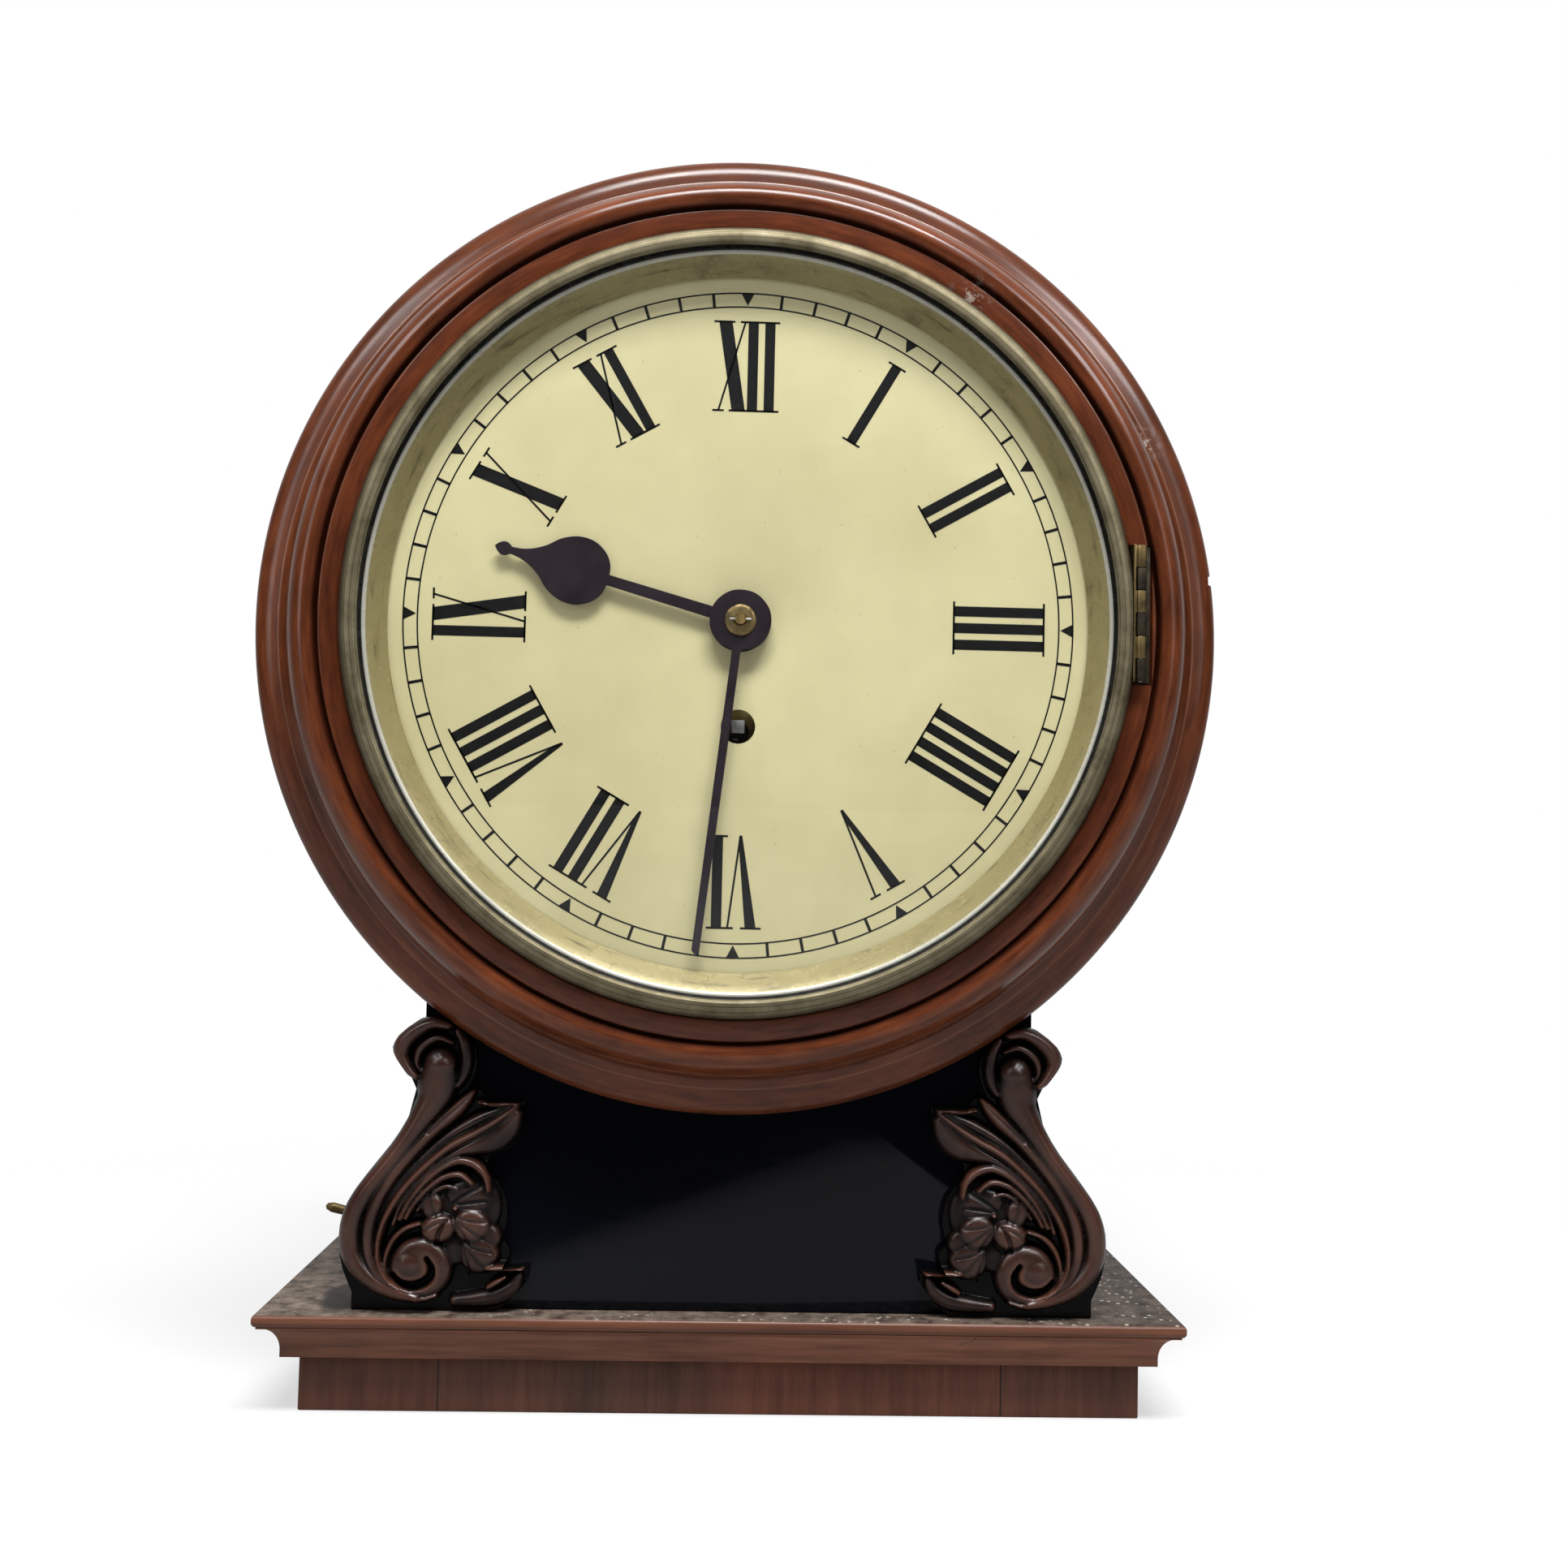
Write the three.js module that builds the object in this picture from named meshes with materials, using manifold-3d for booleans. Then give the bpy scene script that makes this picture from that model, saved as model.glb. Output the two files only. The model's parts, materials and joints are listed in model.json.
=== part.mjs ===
// A drum-head shelf timepiece: a turned mahogany dial surround on a bentwood drum, a waisted trunk with
// carved scroll brackets, a moulded plinth, and a single-train fusee movement with a short pendulum.
// Millimetres, +Z up, front towards -Y, origin under the middle of the plinth.
import * as THREE from "three";
import { mergeVertices } from "three/addons/utils/BufferGeometryUtils.js";
import Module from "manifold-3d";

const wasm = await Module();
wasm.setup();

// Whole object. Depths below are counted backwards from the painted face of the dial.
const overallDepth = 160;
const bezelStandout = 10.5; // bezel crest in front of the dial face
const visibleDialRadius = 101.6; // an eight-inch dial, which every radius of the head follows
const seamGap = 0.1; // glued joints between flat faces
const fitGap = 0.3; // pieces that fit or seat without glue
const roundSides = 48; // sides of the large turned pieces
const middleSides = 20; // of bob, barrel, fusee and bosses
const smallSides = 12; // of arbors and knobs
const fineSides = 8; // of pins and hinge barrels

// Base
const plinthWidth = 250.5;
const plinthHeight = 16.7;
const boardFront = 11; // depth of the top board's front edge
const boardOverhang = 11.45; // board edge beyond the plinth's face
const boardThickness = 3.9;
const boardRounding = 1.4;
const coveHeight = 9.9;
const coveFillet = 2.2; // flat foot of the cove moulding
const coveFootReach = 4.6; // foot beyond the plinth's face
const coveHeadReach = 9.4;
const coveRailWidth = 14; // how far each rail runs in under the board

// Trunk
const trunkBoard = 8; // thickness of its boards
const trunkFootHalfWidth = 110;
const trunkFootHeight = 4.5;
const waistHalfWidth = 106; // where the foot's hollow meets the straight slope
const footHollow = 1.4; // pull of the hollow's curve, outwards
const footHollowRise = 1.2; // and upwards
const waistRise = 10; // that point above the base board
const neckHalfWidth = 91;
const neckRise = 73; // where the slope turns upright

// Drum
const drumInset = 17.2; // drum's face inside the edge of the dial surround
const drumWall = 7;
const backRingThickness = 8;
const backRingWidth = 27.5;
const backDoorGap = 0.6;
const backDoorThickness = 7;
const backDoorRim = 9; // flat border round its sunk field
const backDoorSinking = 2.4;
const backDoorSlope = 2;
const pendulumSlotHalfWidth = 48;
const pendulumSlotLength = 34;

// Dial surround, a turned ring. Widths of its moulding from the bezel outwards.
const surroundFoot = 89.2; // its lowest edge above the floor
const dialLip = 2.8; // wood in front of the dial's edge
const bandWidth = 5.3;
const quirkWidth = 2.1; // groove between band and ovolo
const quirkDepth = 2.5;
const ovoloWidth = 10;
const hollowWidth = 4.6;
const beadWidth = 8.2;
const surroundBack = 20; // depth of its back face
const bandStandout = 5.9;
const ovoloStandout = 7;
const bandSlope = 0.7; // how far the band falls back, outwards
const firstArrisFall = 14; // first arris behind the crest of the ovolo
const secondArrisLift = 7.9; // second arris in front of the ring's back
const beadLift = 5.8; // outer bead, likewise
const beadRounding = 2.2;
const rebateDepth = 3.9; // bezel seat, in front of the dial face

// Bezel, glass and sight ring
const bezelWidth = 5.9;
const glassRebate = 2.1; // bore behind the bezel's lip is wider by this, for the glass
const lipThickness = 1.75;
const bezelShoulder = 2.4; // outer rounding of the bezel, along its depth
const glassThickness = 1.6;
const sightRingSpread = 6.1; // radius that it gains towards the glass
const sightRingMargin = 1.1; // its head inside the bezel's lip
const sightRingThickness = 0.85;
const sightRingLift = 0.9; // its edge in front of the dial face

// Bezel hinge
const bezelHingeOffset = 1.3; // barrel's axis outside the bezel's edge
const bezelHingeLift = 1.2; // barrel in front of its leaf
const bezelHingeRise = 4.5; // above the dial's centre
const bezelHingeLength = 40;
const bezelKnuckles = 6;
const bezelBarrel = 1.6;
const bezelLeafThickness = 0.6;
const hingeLeafReach = 3.7;
const hingeSweep = 2; // room inside the flat for the moving leaf as it swings
const hingeLeafThickness = 0.8;
const hingePinRadius = 0.7;
const hingePinPlay = 0.15;

// Door hinges
const doorBarrel = 1.6;
const doorLeafReach = 9;
const doorKnuckles = 3;
const sideHingeLength = 40;
const backHingeLength = 44;

// Side door, on the sloping part of the left trunk side
const doorGap = 0.8;
const doorThickness = 6;
const doorFront = 40; // depth of its front edge
const doorBack = 100;
const doorFoot = 4; // its edges along the slope, from the waist
const doorHead = 56;
const knobInset = 9; // knob's axis from the door's front edge
const knobRise = 4.5; // knob's axis above the door's foot
const knobLength = 20.5;
const knobRadius = 2.1;
const knobRosette = 4.2;
const knobNeck = 4; // where the stem spreads into the rosette
const rosetteThickness = 1.8;
const spindleRadius = 1.5;
const catchReach = 15; // turning blade behind the door
const catchThickness = 1.6;
const catchWidth = 5;

// Turn button on the back
const buttonInset = 5; // its screw outside the door's opening
const buttonReach = 11;
const buttonWidth = 6;
const buttonThickness = 1.8;
const buttonScrew = 2;
const buttonScrewHead = 0.6;

// Dial
const dialMargin = 10.7; // its edge beyond what the sight ring leaves in view
const dialThickness = 1.2;
const dialFootLength = 14.8;
const dialFootRadius = 2.6;
const dialFootX = 46;
const dialFootZ = 44;
const centreHole = 6.2;
const windingHole = 5;
const windingDrop = 30.5; // winding arbor below the dial's centre

// Hands
const handThickness = 0.9;
const hourHandStandout = 1.6; // back of the hand in front of the dial face
const minuteHandStandout = 3;
const handBoss = 8.8;
const hourHandMargin = 27.6; // tips inside the sight ring
const minuteHandMargin = 4.6;
const hourBulbDistance = 49.6;
const hourBulbRadius = 9.2;
const hourShaft = 2.7;
const hourNeck = 1.7;
const hourTip = 3.1;
const minuteHandRoot = 2.8;
const minuteHandTip = 1.1;
const hourAngle = 285.7; // degrees clockwise from twelve: about half past nine
const minuteAngle = 186.4;
const colletRadius = 4.7;
const colletHeight = 1;
const arborTail = 1.1; // centre arbor past the collet, where the pin goes through
const crossPinLength = 6.4;
const crossPinRadius = 0.35;

// Movement frame
const plateThickness = 3;
const pillarLength = 50;
const pillarRadius = 4.5;
const pillarWaist = 3.3;
const pillarShoulder = 4; // full thickness at each end
const pillarTaper = 3;
const pillarX = 54.6;
const pillarHigh = 54; // pillars above the dial's centre
const pillarLow = 80.4; // pillars below it
const plateMargin = 7;
const plateCornerMargin = 4.7; // past the lower pillars, where the corners are rounded off to the drum

// Going train, as tooth counts and modules
const pressureAngle = (28 * Math.PI) / 180;
const addendum = 0.65; // shares of the module
const dedendum = 0.95;
const toothThinning = 0.1;
const greatTeeth = 72;
const centreLeaves = 6;
const centreTeeth = 72;
const thirdLeaves = 6;
const thirdTeeth = 66;
const escapeLeaves = 6;
const trainModule = 0.58;
const thirdArborX = 16;
const escapeTeeth = 30;
const escapeRadius = 15.6;
const escapeToothDepth = 3.2;
const escapeToothRake = 0.5; // shares of the tooth pitch: the sloping back, then the steep face
const escapeToothBack = 0.05;
const wheelThickness = 2;
const greatWheelThickness = 3;
const arborRadius = 1.6; // centre and pallet arbors
const pinionArborRadius = 1; // third and escape arbors
const wheelHub = 5.5;
const wheelRim = 2.6;
const wheelArms = 4;
const armWidth = 2.6;
const pinionMargin = 2; // leaves run past the wheel that drives them, on each side
const centreWheelOffset = 3; // wheels behind the front plate
const thirdWheelOffset = 31;
const greatWheelOffset = 41;
const escapeWheelOffset = 44;

// Motion work between dial and front plate
const cannonTeeth = 12;
const minuteTeeth = 36;
const motionModule = 0.9;
const minuteLeaves = 8;
const hourTeeth = 32;
const motionWheelThickness = 2.4;
const hourWheelLift = 3.4; // hour wheel behind the dial plate
const cannonLift = 8.4;
const hourPipe = 5.4;
const cannonPipe = 3.9;
const pipeShoulder = 0.9; // step that a hand seats on
const pipePlay = 0.25;
const minuteWheelAngle = 225; // degrees, seen from the front, from three o'clock
const studRadius = 1.2;
const minuteLeafMargin = 1; // minute wheel's leaves in front of the hour wheel

// Spring barrel, fusee and line
const barrelX = -43;
const barrelZ = -54;
const barrelRadius = 22.5;
const barrelWall = 1.6;
const barrelOffset = 6; // behind the front plate
const barrelLength = 32;
const barrelArborRadius = 4;
const springTurns = 4;
const springThickness = 0.7;
const springMargin = 1.2;
const fuseeSmall = 7;
const fuseeLarge = 18;
const fuseeOffset = 8;
const fuseeLength = 30;
const fuseeGrooves = 6;
const grooveDepth = 0.9;
const fuseeArborRadius = 3;
const windingSquare = 3.8;
const squareLength = 14;
const lineRadius = 0.6;

// Pallets and pendulum
const palletRise = 52; // pallet arbor and bend of the suspension spring above the dial's centre
const nibRadius = 17.3; // pallet nibs from the escape arbor
const nibHalfAngle = 45; // degrees either side of upright, on the escape wheel
const nibSize = 2.2;
const palletThickness = 3;
const crutchLength = 46;
const crutchDepth = 8; // behind the back plate
const crutchWidth = 3;
const crutchThickness = 1.5;
const crutchHub = 3.2;
const prongTail = 1; // prongs past the pendulum rod
const anchorBody = 3.4; // anchor above the pallet arbor's axis
const anchorArch = 4.4; // and below it
const anchorEnd = 4.2; // height of its arms at the nibs
const cockReach = 14; // bridge behind the back plate
const cockHalfWidth = 27;
const cockHeight = 10;
const cockThickness = 3;
const cockFoot = 8;
const pendulumClearance = 1.5; // spring behind the back cock
const cockBlockHalf = 4;
const springWidth = 6;
const springLength = 20;
const suspensionThickness = 0.4;
const pendulumLength = 205; // bend of the spring to the bob's centre, for 7920 beats an hour
const rodRadius = 2;
const chopHeight = 6; // block at the rod's head, which grips the spring
const bobRadius = 23;
const bobThickness = 14;
const bobRim = 3;
const nutRadius = 6;
const nutHeight = 5;
const nutRounding = 1.2;
const rodTail = 5;

// Scroll brackets: outline of the right-hand one, as distances out from the middle and up from the base board
const bracketThickness = 8.2;
const bracketGround = 4.4; // thickness of the ground behind the raised scroll
const voluteX = 92;
const voluteRise = 13.4;
const voluteRadius = 11.4;
const voluteEye = 5.6;
const stemThickness = 9;
const bracketFootInset = 0.5; // outer foot inside the trunk's foot
const bracketFootRise = 5;
const outerEdge = [[112.8, 13], [113.6, 22], [111.4, 31], [105.6, 40], [98, 50], [93.6, 58], [92.4, 64]];
const crestLine = [[95, 69.5], [100, 76.5]];
const topCurl = [[97, 81], [89.4, 86], [81, 83], [76, 77.5], [75, 71], [77.4, 65]];
const upperLeaf = [[73.8, 64.4], [71, 61], [60.8, 61.2]];
const broadLeaf = [[60.6, 55], [63.4, 49], [70.6, 45]];
const hood = [[70.6, 41], [66.2, 35], [64.6, 28], [66, 21]];
const lowerPetal = [[63.6, 17.5], [65.5, 12.5]];
const footLeaf = [[58, 13.6], [58.6, 9], [63, 3.4], [67, 0]];
const stemMiddle = [[85, 78], [85.5, 66], [91, 53], [99, 40], [104.5, 27], [103, 12.5], [95, 4.6]];
const stemRoot = 0.55; // stem's thickness at its ends, as a share
const stemSwell = 0.75; // and what it gains at the middle
const stemSteps = 14;
const stemSink = 0.8; // stem behind the volute's front
const budX = 77;
const budRise = 27;
const budRadius = 9.5;
const budCrown = 5;
const reliefRoot = 0.6; // raised parts are rooted this deep in the ground

// Radii of the head, from the visible dial outwards
const dialRadius = visibleDialRadius + dialMargin;
const sightRingHead = visibleDialRadius + sightRingSpread;
const bezelLip = sightRingHead + sightRingMargin;
const bezelSeat = bezelLip + glassRebate;
const bezelRadius = bezelLip + bezelWidth;
const bandInner = bezelRadius + fitGap;
const bandOuter = bandInner + bandWidth;
const ovoloInner = bandOuter + quirkWidth;
const ovoloOuter = ovoloInner + ovoloWidth;
const secondArris = ovoloOuter + hollowWidth;
const surroundRadius = secondArris + beadWidth;
const surroundBore = dialRadius - dialLip;
const drumRadius = surroundRadius - drumInset;
const backOpening = drumRadius - backRingWidth;
const backDoorRadius = backOpening - backDoorGap;
const buttonRadius = backOpening + buttonInset;
const hourHandLength = visibleDialRadius - hourHandMargin;
const minuteHandLength = visibleDialRadius - minuteHandMargin;

// Heights and depths that follow from the sizes above
const dialCentreHeight = surroundFoot + surroundRadius;
const dialFaceY = bezelStandout - overallDepth / 2;
const doorHingeLift = doorBarrel + fitGap; // barrel's axis above the face of the board
// The back of the case is flush. The barrel of the back door's hinge reaches the overall depth.
const caseBack = overallDepth - bezelStandout - doorHingeLift - doorBarrel;
const coveFoot = plinthHeight + seamGap;
const boardBase = coveFoot + coveHeight + seamGap;
const boardTop = boardBase + boardThickness;
const trunkBase = boardTop + fitGap;
const trunkTop = dialCentreHeight - drumRadius / 2; // before the drum's seat is cut
const plinthFront = boardFront + boardOverhang;
const plinthHalf = plinthWidth / 2;
const boardHalf = plinthHalf + boardOverhang;
const lipStandout = bezelStandout - lipThickness; // back of the lip in front of the dial face
const bezelHingeX = bezelRadius + bezelHingeOffset;
const bezelHingeStandout = rebateDepth + fitGap + hingeLeafThickness + bezelHingeLift + bezelBarrel;
// The bezel's edge is filed flat here, so that its leaf clears the fixed knuckles.
const bezelFlat = bezelHingeX - bezelBarrel - bezelLeafThickness - 2 * fitGap;
const trunkFront = surroundBack + fitGap;
const sidesFront = trunkFront + trunkBoard + seamGap;
const backBoardFront = caseBack - trunkBoard;
const sidesBack = backBoardFront - seamGap;
const drumFront = surroundBack + fitGap;
const backRingFront = caseBack - backRingThickness;
const drumBack = backRingFront - fitGap;
const frontPlateFront = dialThickness + dialFootLength + fitGap;
const trainFront = frontPlateFront + plateThickness;
const trainBack = trainFront + pillarLength;
const backPlateBack = trainBack + plateThickness;
const bridgeFront = backPlateBack + cockReach;
const suspensionDepth = bridgeFront + cockThickness + pendulumClearance + springWidth / 2;

// Finishes
const finish = (color, roughness, metalness) =>
  new THREE.MeshStandardMaterial({ color, roughness, metalness });
const mahogany = finish(0x6b2c14, 0.35, 0);
const darkMahogany = finish(0x45200f, 0.45, 0);
const ebonised = finish(0x0c0b0c, 0.2, 0);
const carvedOak = finish(0x2b1812, 0.4, 0);
const paleWood = finish(0x8a6a45, 0.7, 0);
const brass = finish(0xb08a45, 0.35, 1);
const agedBrass = finish(0x7d6132, 0.45, 1);
const steel = finish(0x8d9095, 0.35, 1);
const bluedSteel = finish(0x14141c, 0.4, 0.8);
const glass = finish(0xe6efe9, 0.05, 0);
const dialPaint = finish(0xe2dba4, 0.6, 0);

// Turns a closed geometry into a solid, with the doubled vertices merged and the faces pointing out.
function solid(geometry) {
  const flat = geometry.index ? geometry.toNonIndexed() : geometry;
  const bare = new THREE.BufferGeometry();
  bare.setAttribute("position", flat.getAttribute("position"));
  const merged = mergeVertices(bare, 1e-4);
  const corners = merged.index.array;
  const faces = [];
  for (let i = 0; i < corners.length; i += 3) {
    const [a, b, c] = [corners[i], corners[i + 1], corners[i + 2]];
    if (a !== b && b !== c && c !== a) faces.push(a, b, c);
  }
  const points = merged.getAttribute("position").array;
  const body = (order) =>
    new wasm.Manifold(
      new wasm.Mesh({ numProp: 3, vertProperties: points, triVerts: new Uint32Array(order) }),
    );
  const made = body(faces);
  return made.volume() < 0 ? body(faces.reverse()) : made;
}

const join = (first, ...others) => others.reduce((sum, other) => sum.add(other), first);
const cut = (first, ...others) => others.reduce((rest, other) => rest.subtract(other), first);

// Adds a named piece to a group.
function piece(group, name, body, material) {
  const { numProp, vertProperties, triVerts } = body.getMesh();
  const positions = new Float32Array((vertProperties.length / numProp) * 3);
  for (let i = 0; i < positions.length / 3; i++) {
    positions.set(vertProperties.subarray(i * numProp, i * numProp + 3), i * 3);
  }
  const geometry = new THREE.BufferGeometry();
  geometry.setAttribute("position", new THREE.BufferAttribute(positions, 3));
  geometry.setIndex(new THREE.BufferAttribute(triVerts, 1));
  geometry.computeVertexNormals();
  const mesh = new THREE.Mesh(geometry, material);
  mesh.name = name;
  group.add(mesh);
}

// A shape drawn in the XZ plane, given thickness between two depths.
function slab(shape, front, back, curveSegments = 6) {
  const geometry = new THREE.ExtrudeGeometry(shape, {
    depth: back - front,
    bevelEnabled: false,
    curveSegments,
  });
  geometry.rotateX(Math.PI / 2);
  geometry.translate(0, back, 0);
  return solid(geometry);
}

const polygon = (points) => new THREE.Shape(points.map(([x, z]) => new THREE.Vector2(x, z)));

// A piece turned about a line along Y through x, z. The profile holds pairs of radius and depth.
function turnedGeometry(profile, sides) {
  const points = profile.map(([radius, depth]) => new THREE.Vector2(radius, depth));
  const onAxis = profile[0][0] === 0;
  if (!onAxis) points.push(points[0].clone());
  return new THREE.LatheGeometry(points, sides);
}
const turned = (profile, sides, x = 0, z = 0) =>
  solid(turnedGeometry(profile, sides).translate(x, 0, z));

// The same about an upright line through x, y, with pairs of radius and height.
const turnedUpright = (profile, sides, x = 0, y = 0) =>
  solid(turnedGeometry(profile, sides).rotateX(Math.PI / 2).translate(x, y, 0));

const rodProfile = (radius, from, to) => [
  [0, from],
  [radius, from],
  [radius, to],
  [0, to],
];
const rod = (radius, front, back, x = 0, z = 0, sides = smallSides) =>
  turned(rodProfile(radius, front, back), sides, x, z);
const uprightRod = (radius, low, high, x = 0, y = 0, sides = fineSides) =>
  turnedUpright(rodProfile(radius, low, high), sides, x, y);

// A box between limits along each axis.
function boxGeometry([x0, x1], [y0, y1], [z0, z1]) {
  const geometry = new THREE.BoxGeometry(x1 - x0, y1 - y0, z1 - z0);
  return geometry.translate((x0 + x1) / 2, (y0 + y1) / 2, (z0 + z1) / 2);
}
const box = (x, y, z) => solid(boxGeometry(x, y, z));

const clock = new THREE.Group();
const body = new THREE.Group(); // case: heights from the floor, depths from the dial face
body.position.set(0, dialFaceY, 0);
const head = new THREE.Group(); // dial and movement: heights from the dial's centre
head.position.set(0, dialFaceY, dialCentreHeight);
clock.add(body, head);

// Base: a veneered plinth, cove rails mitred round three sides, a plain rail behind, and the top board
function addBase() {
  piece(body, "plinth", box([-plinthHalf, plinthHalf], [plinthFront, caseBack], [0, plinthHeight]), mahogany);

  const coveTop = coveFoot + coveHeight;
  const profile = new THREE.Shape();
  profile.moveTo(-coveRailWidth, coveFoot);
  profile.lineTo(coveFootReach, coveFoot);
  profile.lineTo(coveFootReach, coveFoot + coveFillet);
  profile.quadraticCurveTo(coveFootReach, coveTop, coveHeadReach, coveTop);
  profile.lineTo(-coveRailWidth, coveTop);
  const railGeometry = () =>
    new THREE.ExtrudeGeometry(profile, { depth: 1, bevelEnabled: false, curveSegments: 6 });

  // Each rail is drawn as reach, height and a share along its length, then laid on its side of the plinth.
  const laid = (place) => {
    const geometry = railGeometry();
    const points = geometry.getAttribute("position");
    for (let i = 0; i < points.count; i++) {
      points.setXYZ(i, ...place(points.getX(i), points.getY(i), points.getZ(i)));
    }
    return solid(geometry);
  };
  const mitre = (reach) => plinthHalf + reach - seamGap;
  const front = laid((reach, z, along) => [mitre(reach) * (2 * along - 1), plinthFront - reach, z]);
  piece(body, "base_cove_front", front, darkMahogany);
  const sideEnd = caseBack - coveRailWidth - seamGap;
  for (const [name, side] of [
    ["base_cove_left", -1],
    ["base_cove_right", 1],
  ]) {
    const rail = laid((reach, z, along) => {
      const start = plinthFront - reach + seamGap;
      return [side * (plinthHalf + reach), start + along * (sideEnd - start), z];
    });
    piece(body, name, rail, darkMahogany);
  }
  const backRail = box(
    [-plinthHalf, plinthHalf],
    [caseBack - coveRailWidth, caseBack],
    [coveFoot, coveTop],
  );
  piece(body, "base_back_rail", backRail, paleWood);

  const outline = polygon([
    [-boardHalf + boardRounding, boardFront + boardRounding],
    [boardHalf - boardRounding, boardFront + boardRounding],
    [boardHalf - boardRounding, caseBack - boardRounding],
    [-boardHalf + boardRounding, caseBack - boardRounding],
  ]);
  const board = new THREE.ExtrudeGeometry(outline, {
    depth: boardThickness - 2 * boardRounding,
    bevelEnabled: true,
    bevelThickness: boardRounding,
    bevelSize: boardRounding,
    bevelSegments: 3,
  });
  board.translate(0, 0, boardBase + boardRounding);
  piece(body, "base_board", solid(board), mahogany);
}

// Half of the trunk's outline, from the foot up, with its line moved in by a board's thickness or not
function trunkHalf(inset) {
  const path = new THREE.Path();
  path.moveTo(trunkFootHalfWidth - inset, trunkBase);
  path.lineTo(trunkFootHalfWidth - inset, trunkBase + trunkFootHeight);
  path.quadraticCurveTo(
    waistHalfWidth + footHollow - inset,
    trunkBase + trunkFootHeight + footHollowRise,
    waistHalfWidth - inset,
    trunkBase + waistRise,
  );
  path.lineTo(neckHalfWidth - inset, trunkBase + neckRise);
  path.lineTo(neckHalfWidth - inset, trunkTop);
  return path.getPoints(4).map((point) => [point.x, point.y]);
}
const mirrored = (points) => points.map(([x, z]) => [-x, z]).reverse();
const drumSeat = (front, back) =>
  rod(drumRadius + fitGap, front - 1, back + 1, 0, dialCentreHeight, roundSides);

// The slope of the trunk's sides, which carries the side door
const slopeAngle = Math.atan2(waistHalfWidth - neckHalfWidth, neckRise - waistRise);
const slopeFootZ = trunkBase + waistRise;

function addTrunk() {
  const outline = polygon([...trunkHalf(0), ...mirrored(trunkHalf(0))]);
  const board = (front, back) => cut(slab(outline, front, back), drumSeat(front, back));
  piece(body, "trunk_front_panel", board(trunkFront, trunkFront + trunkBoard), ebonised);
  piece(body, "trunk_back_board", board(backBoardFront, caseBack), darkMahogany);

  const sideOutline = polygon([...trunkHalf(0), ...trunkHalf(trunkBoard).reverse()]);
  const side = cut(slab(sideOutline, sidesFront, sidesBack), drumSeat(sidesFront, sidesBack));
  piece(body, "trunk_side_right", side, darkMahogany);

  const reach = 3 * trunkBoard;
  const opening = boxGeometry(
    [-reach, reach],
    [doorFront - doorGap, doorBack + doorGap],
    [doorFoot - doorGap, doorHead + doorGap],
  );
  opening.rotateY(slopeAngle).translate(-waistHalfWidth, 0, slopeFootZ);
  piece(body, "trunk_side_left", cut(side.mirror([1, 0, 0]), solid(opening)), darkMahogany);
}

// Butt hinge about a line along local Z. The faces it is screwed to lie doorHingeLift inwards, along +X.
// The fixed leaf, with the pin riveted in its knuckles, runs towards +Y, the moving one towards -Y.
function buttHinge(group, name, length) {
  const pitch = length / doorKnuckles;
  const leafFrom = doorHingeLift - fitGap - hingeLeafThickness;
  const leafTo = doorHingeLift - fitGap;
  const plateStart = doorBarrel + 2 * fitGap;
  const leaf = (side, own) => {
    const span = (near, far) => (side > 0 ? [near, far] : [-far, -near]);
    let made = box([leafFrom, leafTo], span(plateStart, doorLeafReach), [-length / 2, length / 2]);
    for (let i = own; i < doorKnuckles; i += 2) {
      const low = -length / 2 + i * pitch + fitGap / 2;
      const high = low + pitch - fitGap;
      const tab = box([leafFrom, leafTo], span(0, plateStart + fitGap), [low, high]);
      made = join(made, uprightRod(doorBarrel, low, high), tab);
    }
    return made;
  };
  const pin = uprightRod(hingePinRadius, -length / 2, length / 2);
  const bore = uprightRod(hingePinRadius + hingePinPlay, -length, length);
  piece(group, `${name}_fixed_leaf`, join(leaf(1, 1), pin), agedBrass);
  piece(group, `${name}_door_leaf`, cut(leaf(-1, 0), bore), agedBrass);
}

// Side door for reaching the pendulum, with its hinge and a turned knob that works a catch blade
function addSideDoor() {
  const slope = new THREE.Group(); // local X runs into the case, local Z up the slope
  slope.position.set(-waistHalfWidth, 0, slopeFootZ);
  slope.rotation.y = slopeAngle;
  body.add(slope);

  const knobY = doorFront + knobInset;
  const knobZ = doorFoot + knobRise;
  const bladeFront = trunkBoard + fitGap; // turned, it lies behind the frame of the door
  // The knob is turned about local X: drawn about Y and swung over.
  const alongX = (profile) => {
    const geometry = turnedGeometry(profile, smallSides);
    return solid(geometry.rotateZ(-Math.PI / 2).translate(0, knobY, knobZ));
  };
  const panel = box([0, doorThickness], [doorFront, doorBack], [doorFoot, doorHead]);
  const spindleHole = alongX(rodProfile(spindleRadius + fitGap, -1, doorThickness + 1));
  piece(slope, "side_door", cut(panel, spindleHole), darkMahogany);

  const knob = alongX([
    [0, -knobLength],
    [knobRadius * 0.7, -knobLength + knobRadius / 4],
    [knobRadius, -knobLength + knobRadius],
    [knobRadius * 0.8, -knobLength + 3 * knobRadius],
    [knobRadius * 0.65, -knobNeck],
    [knobRosette, -rosetteThickness],
    [knobRosette, -fitGap],
    [spindleRadius, -fitGap],
    [spindleRadius, bladeFront + catchThickness],
    [0, bladeFront + catchThickness],
  ]);
  const blade = box(
    [bladeFront, bladeFront + catchThickness],
    [knobY - catchWidth / 2, knobY + catchWidth / 2],
    [knobZ - catchWidth / 2, knobZ + catchReach],
  );
  piece(slope, "side_door_catch", join(knob, blade), brass);

  const hinge = new THREE.Group();
  hinge.position.set(-doorHingeLift, doorBack + doorGap / 2, (doorFoot + doorHead) / 2);
  slope.add(hinge);
  buttHinge(hinge, "side_hinge", sideHingeLength);
}

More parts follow.
